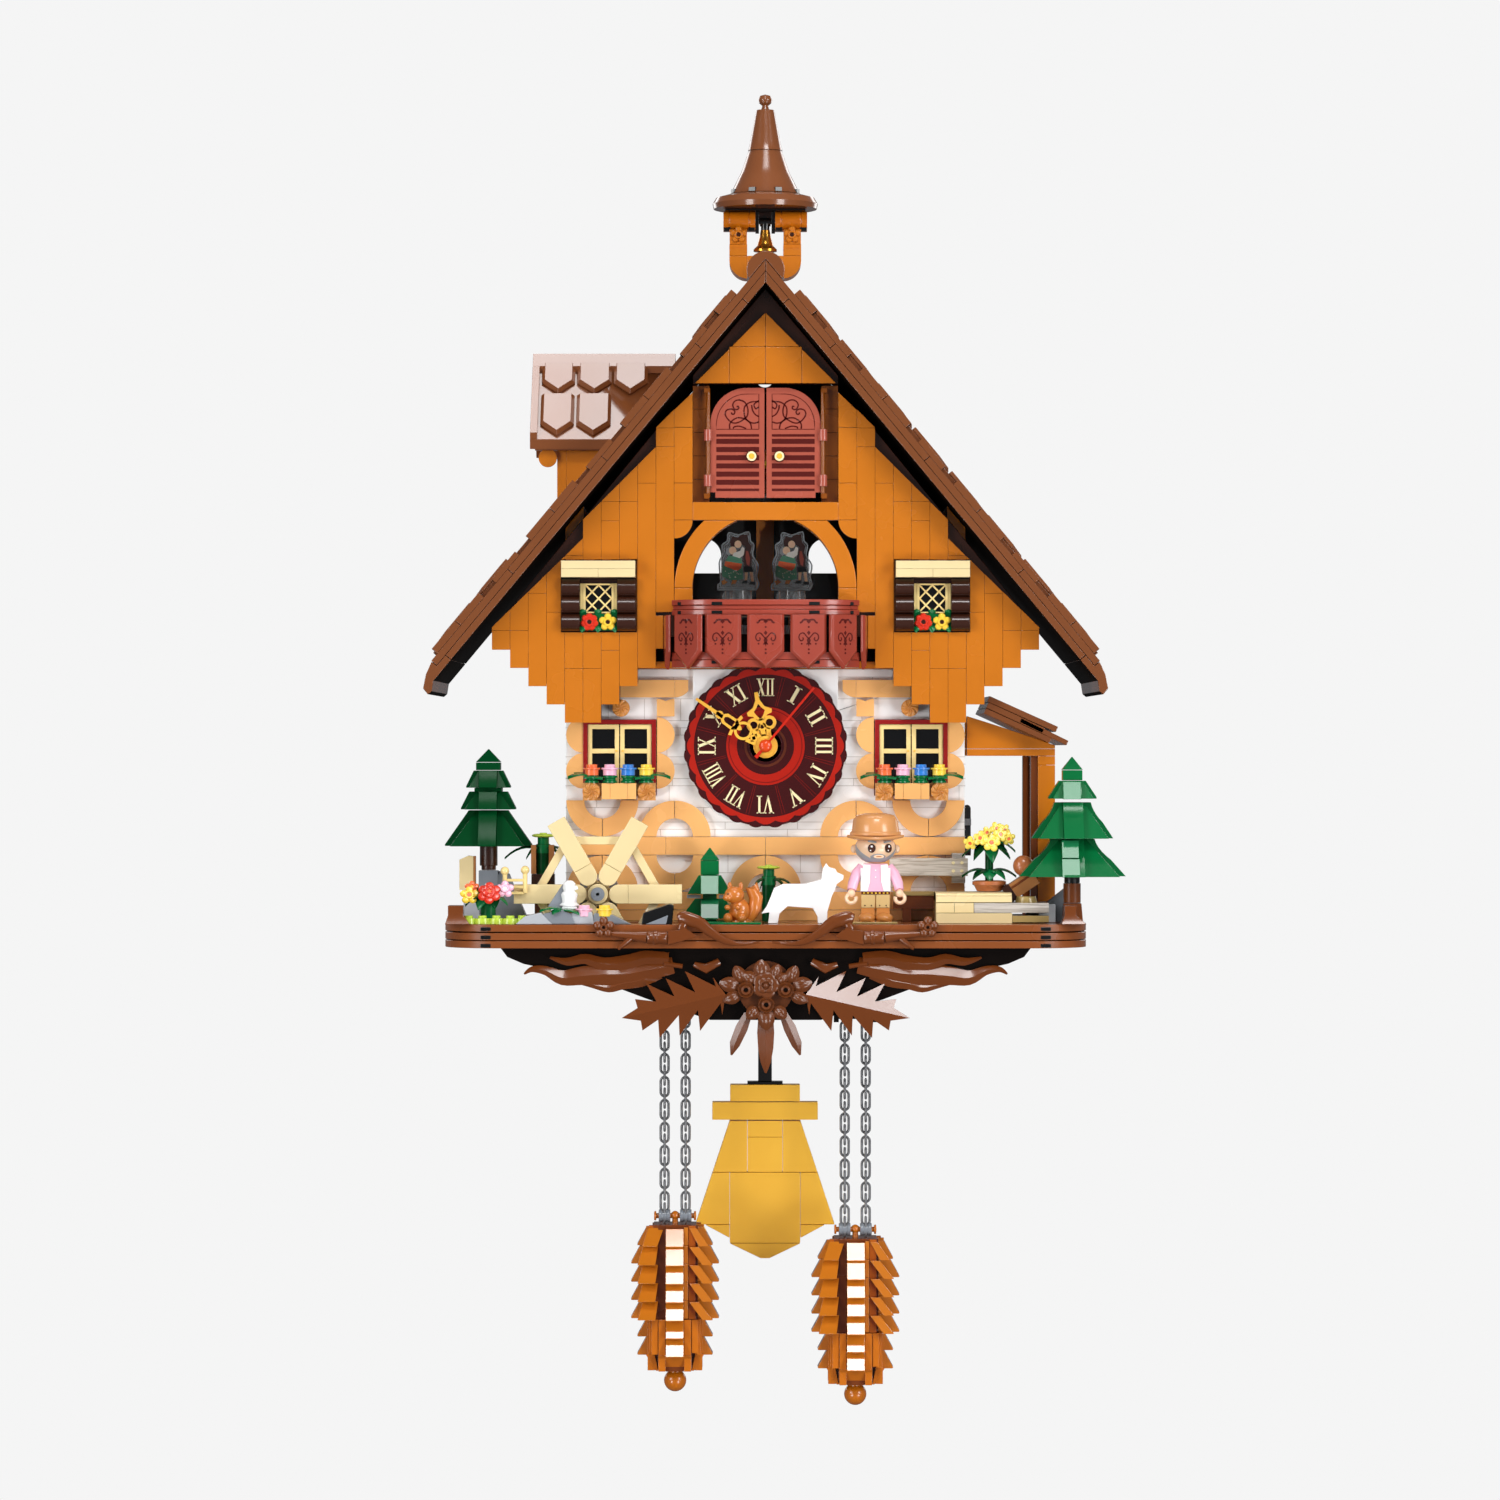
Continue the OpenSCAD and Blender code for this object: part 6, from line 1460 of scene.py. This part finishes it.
def make_antlers():
    p = Part("deck_antler_carving", "clock", "brown")
    for s in (-1, 1):
        y = -146.3
        p.use("brown")
        for k in range(5):
            t = 2 * PI * k / 5 + PI / 2
            p.ball((s * 69.8 + 2.9 * math.cos(t), y - 0.4, -246.2 + 2.9 * math.sin(t)), 1.9, 1, 0.8, 1, 14)
        p.rev([(0.6, y - 0.8), (0.8, y - 1.9), (1.6, y - 2), (2.0, y - 0.6), (2.2, y + 1.8), (0, y + 1.8)], "y",
              (s * 69.8, 0, -246.2), 20)
        p.tube([(s * 66.4, y, -249), (s * 60, y, -249.6), (s * 51.4, y, -250.4)], [1.1, 1.6, 2.6], 14, 0.75)
        p.rev([(0, -0.1), (2.7, 0), (2.9, 0.5), (2.7, 1.0), (2.7, 2.6), (3.1, 3.0), (3.1, 4.2), (2.7, 4.6), (2.7, 7.8),
               (3.0, 8.4), (2.6, 8.8), (0, 8.9)], "x", (s * 46.7 - 4.45, y + 0.6, -250.6), 24)
        p.prism([(s * 42.2, -253.6), (s * 42.2, -247.6), (s * 37, -247.2), (s * 35.2, -246), (s * 33, -247.6),
                 (s * 29.9, -249.6), (s * 30.4, -250.6)], y - 1.3, y + 1.6)
        p.prism([(s * 42.2, -254.2), (s * 30.6, -250.4), (s * 42.2, -250.6)], y - 0.4, y + 1.2)
        path = smooth_path([(-37.9, 0, -242.4), (-35.2, 0, -242.0), (-32, 0, -243.0), (-28.4, 0, -244.4),
                            (-23.4, 0, -248.4), (-17.4, 0, -252.0), (-10.8, 0, -253.4), (-2.7, 0, -252.6)], 5)
        n = len(path)
        radii = [0.5 + 2.5 * math.sin(PI * min(1, (0.06 + i / n) * 1.05) ** 0.62) for i in range(n)]
        p.tube([(s * -q[0], y + 0.4 - 0.8 * math.sin(PI * i / n), q[2]) for i, q in enumerate(path)], radii, 12, 0.5)
        p.tube([(s * 36.6, y + 0.4, -247.4), (s * 35.4, y + 0.4, -244.6), (s * 33.6, y + 0.4, -243.2)],
               [2.0, 1.9, 1.2], 10, 0.6)
        p.tube([(s * 58.2, y + 0.2, -251), (s * 60.8, y - 0.4, -253.2), (s * 63.8, y - 1, -255.4)], [1.3, 1.2, 0.8], 10)
    p.done(bevel=0.15, smooth=40, replaces="deck_antlers")


# ---------------------------------------------------------------- roofs, belfry, porch

PITCH = math.degrees(math.atan(1.2))


def shingle(p, x0, x1, y, w, z, h=2.4, b=1.2):
    """A pentagonal roof tile with sloping edges, its point towards +X of the slope frame."""
    out = [(x0, y - w), (x1 - 7, y - w), (x1, y), (x1 - 7, y + w), (x0, y + w)]
    top = [(x0, y - w + b), (x1 - 7.4, y - w + b), (x1 - 1.5, y), (x1 - 7.4, y + w - b), (x0, y + w - b)]
    verts = [(a, c, z) for a, c in out] + [(a, c, z + h * 0.35) for a, c in out] + [(a, c, z + h) for a, c in top]
    faces = [[4, 3, 2, 1, 0], [10, 11, 12, 13, 14]]
    for i in range(5):
        j = (i + 1) % 5
        faces += [[i, j, 5 + j, 5 + i], [5 + i, 5 + j, 10 + j, 10 + i]]
    p.mesh(verts, faces)


def make_roof_tiles():
    for mirror, name in ((1, "right"), (-1, "left")):
        p = Part("roof_tiles_" + name, "clock", "roof")
        p.at(0, 0, 34, ry=PITCH)
        if mirror < 0:
            p.xf = Matrix.Scale(-1, 4, (1, 0, 0)) @ p.xf
        for row in range(8):
            x0 = 15 + 25 * row
            for col in range(7):
                y = -104.2 + 15.85 * col
                if mirror < 0 and 30 < x0 < 150 and -106 < y < -20:
                    continue
                if abs(y + 60) < 18 and x0 < 16:
                    continue
                shingle(p, x0, min(x0 + 24.4, 216.5), y, 7.6, 8.5, 1.9)
        p.done(bevel=0.2, smooth=30)
    d = Part("dormer_tiles", "clock", "roof")
    for front in (True, False):
        d.at(0, -62, 4, rz=-90 if front else 90)
        d.xf = d.xf @ Matrix.Rotation(math.radians(45.94), 4, "Y")
        columns = [(-91.9, 7.4), (-75.85, 7.65), (-59.85, 7.55)]
        for x, w in columns:
            u = x if front else -x
            shingle(d, 4.4, 22.8, u, w, 0.1, 2.5, 1.4)
            if x < -60:
                shingle(d, 24.4, 50.0, u, w, 0.1, 2.5, 1.4)
    d.done(bevel=0.12, smooth=30)


def make_belfry():
    p = Part("belfry_bricks", "clock", "orange")
    outer = [(-16, 50.2)] + arc(-8, 48.2, 8, 180, 270, 10) + arc(8, 48.2, 8, 270, 360, 10) + [(16, 50.2)]
    p.prism(outer, -68, -52)
    p.box((-8, -68.4, 47.2), (8, -52, 50.25))
    for s in (-1, 1):
        a, b = sorted((s * 8.05, s * 16))
        p.use("orange").box((a, -68, 50.3), (b, -52, 53.4))
        p.box((a, -66, 53.5), (b, -52, 55.6))
        p.box((a + 0.1, -66.4, 55.7), (b - 0.1, -53, 62.2))
        bloom(p, s * 11.9, -66.3, 59.8, 3.9, "orange", "dark_brown", 5)
        p.use("amber")
        c, d = sorted((s * 4.4, s * 18.7))
        groove = [(0, 0), (4.3, 0), (4.3, 2.4), (4.0, 2.6), (4.0, 2.9), (4.3, 3.1), (4.3, 11.2), (4.0, 11.4),
                  (4.0, 11.7), (4.3, 11.9), (4.3, d - c), (0, d - c)]
        p.rev(groove, "x", (c, -60, 66.5), 32)
        p.box((c, -59.8, 62.3), (d, -52, 70.6))
        p.use("black")
        p.box((c + 0.2, -63, 61.8), (c + 3.2, -60, 63.6))
        p.box((d - 3.2, -63, 61.8), (d - 0.2, -60, 63.6))
    p.use("black").box((-18, -65, 70.8), (18, -52, 71.6))
    for s in (-1, 1):
        p.box((s * 3.6 - 0.8, -61.6, 61), (s * 3.6 + 0.8, -58.4, 70.6))
    p.use("dark_brown").box((-4.2, -57.4, 66.8), (4.2, -52, 70.7))
    p.done(bevel=0.22, replaces="belfry_frame")
    # painted shade: small black boxes stand for the dark notches round the spire foot
    q = Part("spire_notch_painted_shade", "clock", "black")
    for a in (-112, -68, -22, 22, 68, 112, 158, 202):
        t = math.radians(a)
        q.at(15.0 * math.cos(t), -60 + 15.0 * math.sin(t), 78.5, rz=a)
        q.box((-1.0, -1.5, 0), (0.9, 1.5, 1.7))
    q.done(bevel=0)


def make_porch():
    p = Part("porch_bricks", "clock", "orange")
    for y in (-88, -20):
        p.use("orange")
        p.prism([(89, -154.8), (103.5, -159.4), (127.9, -167.7), (127.9, -169.2), (89, -169.2)], y, y + 8)
        p.box((89, y, -172.4), (127.9, y + 8, -169.3))
        p.box((120.3, y, -176.4), (127.9, y + 8, -172.5))
        p.box((120.3, y, GROUND), (127.9, y + 8, -176.5))
        p.use("brown").box((117.2, y + 1.5, GROUND), (120.2, y + 8, -172.5))
    p.use("roof")
    for i in range(6):
        y = -96 + 14.6 * i
        for (x0, z0), (x1, z1), t in (((98.6, -146.0), (128.8, -159.6), 2.6), ((98.2, -148.8), (123, -160.2), 2.6),
                                      ((97.0, -151.4), (126, -164.6), 2.4), ((112.6, -155.6), (133.4, -165.8), 2.2)):
            dx, dz = x1 - x0, z1 - z0
            n = math.hypot(dx, dz)
            nx, nz = dz / n * t, -dx / n * t
            p.prism([(x0, z0), (x1, z1), (x1 + nx, z1 + nz), (x0 + nx, z0 + nz)], y, y + 14.3)
    p.done(bevel=0.25, replaces="side_porch")


def make_crank():
    p = Part("crank_lever", "crank", "charcoal")
    p.cyl((13.4, -56, -214), 2.4, 78.6, "x", 24)
    teeth = []
    for i in range(8):
        for off, r in ((-0.27, 2.8), (-0.18, 4), (-0.08, 4.75), (0.08, 4.75), (0.18, 4), (0.27, 2.8)):
            t = math.radians((i + off) * 45)
            teeth.append((-56 + r * math.cos(t), -214 + r * math.sin(t)))
    p.use("grey").prism(teeth, 10.4, 13.5, "yz")
    p.use("charcoal").cyl((90.3, -56, -217), 1.7, 21)
    p.ball((90.3, -56, -196), 1.7, seg=16)
    p.rev([(2.4, 0), (3.0, 0.2), (3.0, 3.2), (2.4, 3.4)], "x", (88.6, -56, -214), 24)
    p.use("light_grey").cyl((90.3, -56, -203.5), 1.85, 3)
    p.done(bevel=0.15, replaces="crank")


def make_cuckoo():
    p = Part("cuckoo_figure", "cuckoo", "amber")
    prof = [(0, -62.4), (3.4, -63.6), (5.6, -67), (6.8, -71), (7.4, -76), (6.9, -80), (5.6, -83.2), (5.2, -85),
            (5.6, -87), (5.4, -90), (4.0, -92.2), (0, -93)]
    p.rev(prof, "y", (0, 0, -44), 32)
    for s in (-1, 1):
        p.use("brown").tube([(s * 6.4, -80, -43.4), (s * 7.0, -74, -43.6), (s * 6.4, -67, -44.6), (s * 4.8, -62.6, -46)],
                            [1.2, 2.3, 1.8, 0.5], 12, 1.5)
        p.use("white").cyl((s * 4.2, -90.4, -41.4), 1.3, 1.2, "y", 16)
        p.use("black").ball((s * 4.3, -90.6, -41.4), 0.9, seg=12)
    p.use("amber").tube([(0, -64, -44), (0, -61.6, -44.4), (0, -60.6, -45)], [3.0, 2.4, 1.6], 12, 0.4)
    p.use("cream").ball((0, -80, -46.4), 4.6, 0.9, 1.1, 0.8, 20)
    p.use("yellow").rev([(2.2, -92.4), (1.5, -94.6), (0.3, -96.4), (0, -96.5)], "y", (0, 0, -44.4), 16)
    p.use("dusty").rev([(1.6, -92.4), (0.9, -94.2), (0, -94.8)], "y", (0, 0, -45.6), 14)
    p.use("brown").box((-2, -82, -51.9), (2, -76, -50))
    p.done(bevel=0.1, smooth=40, replaces="cuckoo_bird")


def make_wall_seams():
    """The fine joints between the white bricks of the front wall."""
    p = Part("front_wall_joints", "clock", "joint")
    rnd = random.Random(11)
    z = -137.6
    while z > -243:
        h = rnd.choice((3.2, 3.2, 6.4, 9.6))
        p.box((-88.3, -88.06, z - 0.13), (88.3, -87.9, z + 0.13))
        x = -88 + rnd.uniform(6, 26)
        while x < 86 and z - h > -244:
            p.box((x - 0.12, -88.06, z - h), (x + 0.12, -87.9, z))
            x += rnd.choice((16, 24, 32))
        z -= h
    p.done(bevel=0)


def colour_parts():
    """Two-colour CAD nodes, face by face; the roof undersides get a painted near-black shade."""
    def recolour(node, mat, test):
        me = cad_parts[node].data
        me.materials.append(MAT[mat])
        for f in me.polygons:
            c = sum((me.vertices[v].co for v in f.vertices), Vector()) / len(f.vertices) / MM
            if test(c, f.normal):
                f.material_index = 1

    recolour("side_walls", "orange", lambda c, n: c.z > -134.2)
    recolour("upper_floor", "orange", lambda c, n: c.z > -131)
    recolour("bell", "black", lambda c, n: c.z > 62.2)
    recolour("battery", "black", lambda c, n: c.z < -176)
    for door in ("left_door", "right_door"):
        recolour(door, "numeral", lambda c, n: c.y < -100.05 and abs(c.x) < 9)
    # painted shade: the downward faces of both roofs are coloured near-black
    for node in ("roof_left", "roof_right"):
        recolour(node, "eave", lambda c, n: n.z < -0.3)
    recolour("gable_backing", "orange", lambda c, n: abs(c.x) < 6 and c.z < -58)


make_keel_carving()
make_antlers()
make_roof_tiles()
make_belfry()
make_porch()
make_crank()
make_cuckoo()
make_wall_seams()
colour_parts()


# ---------------------------------------------------------------- camera, light, backdrop

def add_light(name, loc, target, size, power, color=(1, 1, 1)):
    d = bpy.data.lights.new(name, "AREA")
    d.shape = "RECTANGLE"
    d.size, d.size_y = size
    d.energy = power
    d.color = color
    o = bpy.data.objects.new(name, d)
    o.location = loc
    o.rotation_euler = (Vector(target) - Vector(loc)).to_track_quat("-Z", "Y").to_euler()
    bpy.context.scene.collection.objects.link(o)
    return o


def stage_and_light():
    scene = bpy.context.scene
    cam = bpy.data.cameras.new("camera")
    cam.sensor_width = 36
    cam.lens = 128.6
    cam.clip_end = 50
    co = bpy.data.objects.new("camera", cam)
    co.location = (-0.0068, -2.454, -0.1698)
    co.rotation_euler = (PI / 2, 0, 0)
    scene.collection.objects.link(co)
    scene.camera = co

    me = bpy.data.meshes.new("backdrop")
    dome = bmesh.new()
    bmesh.ops.create_uvsphere(dome, u_segments=48, v_segments=24, radius=9)
    dome.to_mesh(me)
    dome.free()
    back = bpy.data.objects.new("backdrop", me)
    m = bpy.data.materials.new("backdrop")
    m.use_nodes = True
    nt = m.node_tree
    nt.nodes.clear()
    out = nt.nodes.new("ShaderNodeOutputMaterial")
    em = nt.nodes.new("ShaderNodeEmission")
    em.inputs["Color"].default_value = (*linear((245, 245, 245)), 1)
    em.inputs["Strength"].default_value = 1.0
    nt.links.new(em.outputs["Emission"], out.inputs["Surface"])
    me.materials.append(m)
    scene.collection.objects.link(back)
    back.visible_diffuse = False
    back.visible_glossy = False

    world = bpy.data.worlds.new("world")
    world.use_nodes = True
    bg = world.node_tree.nodes["Background"]
    bg.inputs["Color"].default_value = (0.92, 0.95, 1.0, 1)
    bg.inputs["Strength"].default_value = 0.16
    scene.world = world
    add_light("top", (0, 0.06, 1.9), (0, -0.02, -0.1), (1.8, 0.6), 27)
    add_light("slot", (0, -1.4, 1.5), (0, -0.09, -0.36), (0.7, 0.24), 2.3)
    add_light("key", (0.24, -1.78, 1.5), (0, -0.1, -0.05), (0.9, 0.42), 17)
    add_light("right", (1.9, -1.9, 0.5), (0, -0.1, -0.15), (0.9, 1.3), 33)
    add_light("left", (-1.9, -1.9, 0.4), (0, -0.1, -0.15), (0.9, 1.3), 27)
    add_light("low_right", (1.5, -2.2, -1.0), (0, -0.1, -0.32), (0.7, 0.7), 21)
    spot = bpy.data.lights.new("arch_spot", "SPOT")
    spot.energy = 80
    spot.spot_size = math.radians(1.5)
    spot.spot_blend = 1.0
    spot.shadow_soft_size = 0.03
    so = bpy.data.objects.new("arch_spot", spot)
    so.location = (0.5, -2.2, -0.62)
    so.rotation_euler = (Vector((0, -0.056, -0.086)) - so.location).to_track_quat("-Z", "Y").to_euler()
    scene.collection.objects.link(so)
    add_light("low_left", (-1.5, -2.2, -1.0), (0, -0.1, -0.32), (0.7, 0.7), 17)
    add_light("back_left", (-1.3, 1.9, 0.5), (0, 0, -0.15), (1.1, 1.1), 13)
    add_light("back_right", (1.3, 1.9, 0.5), (0, 0, -0.15), (1.1, 1.1), 13)
    scene.view_settings.view_transform = "Standard"
    scene.view_settings.look = "None"
    scene.view_settings.exposure = 0.0


stage_and_light()
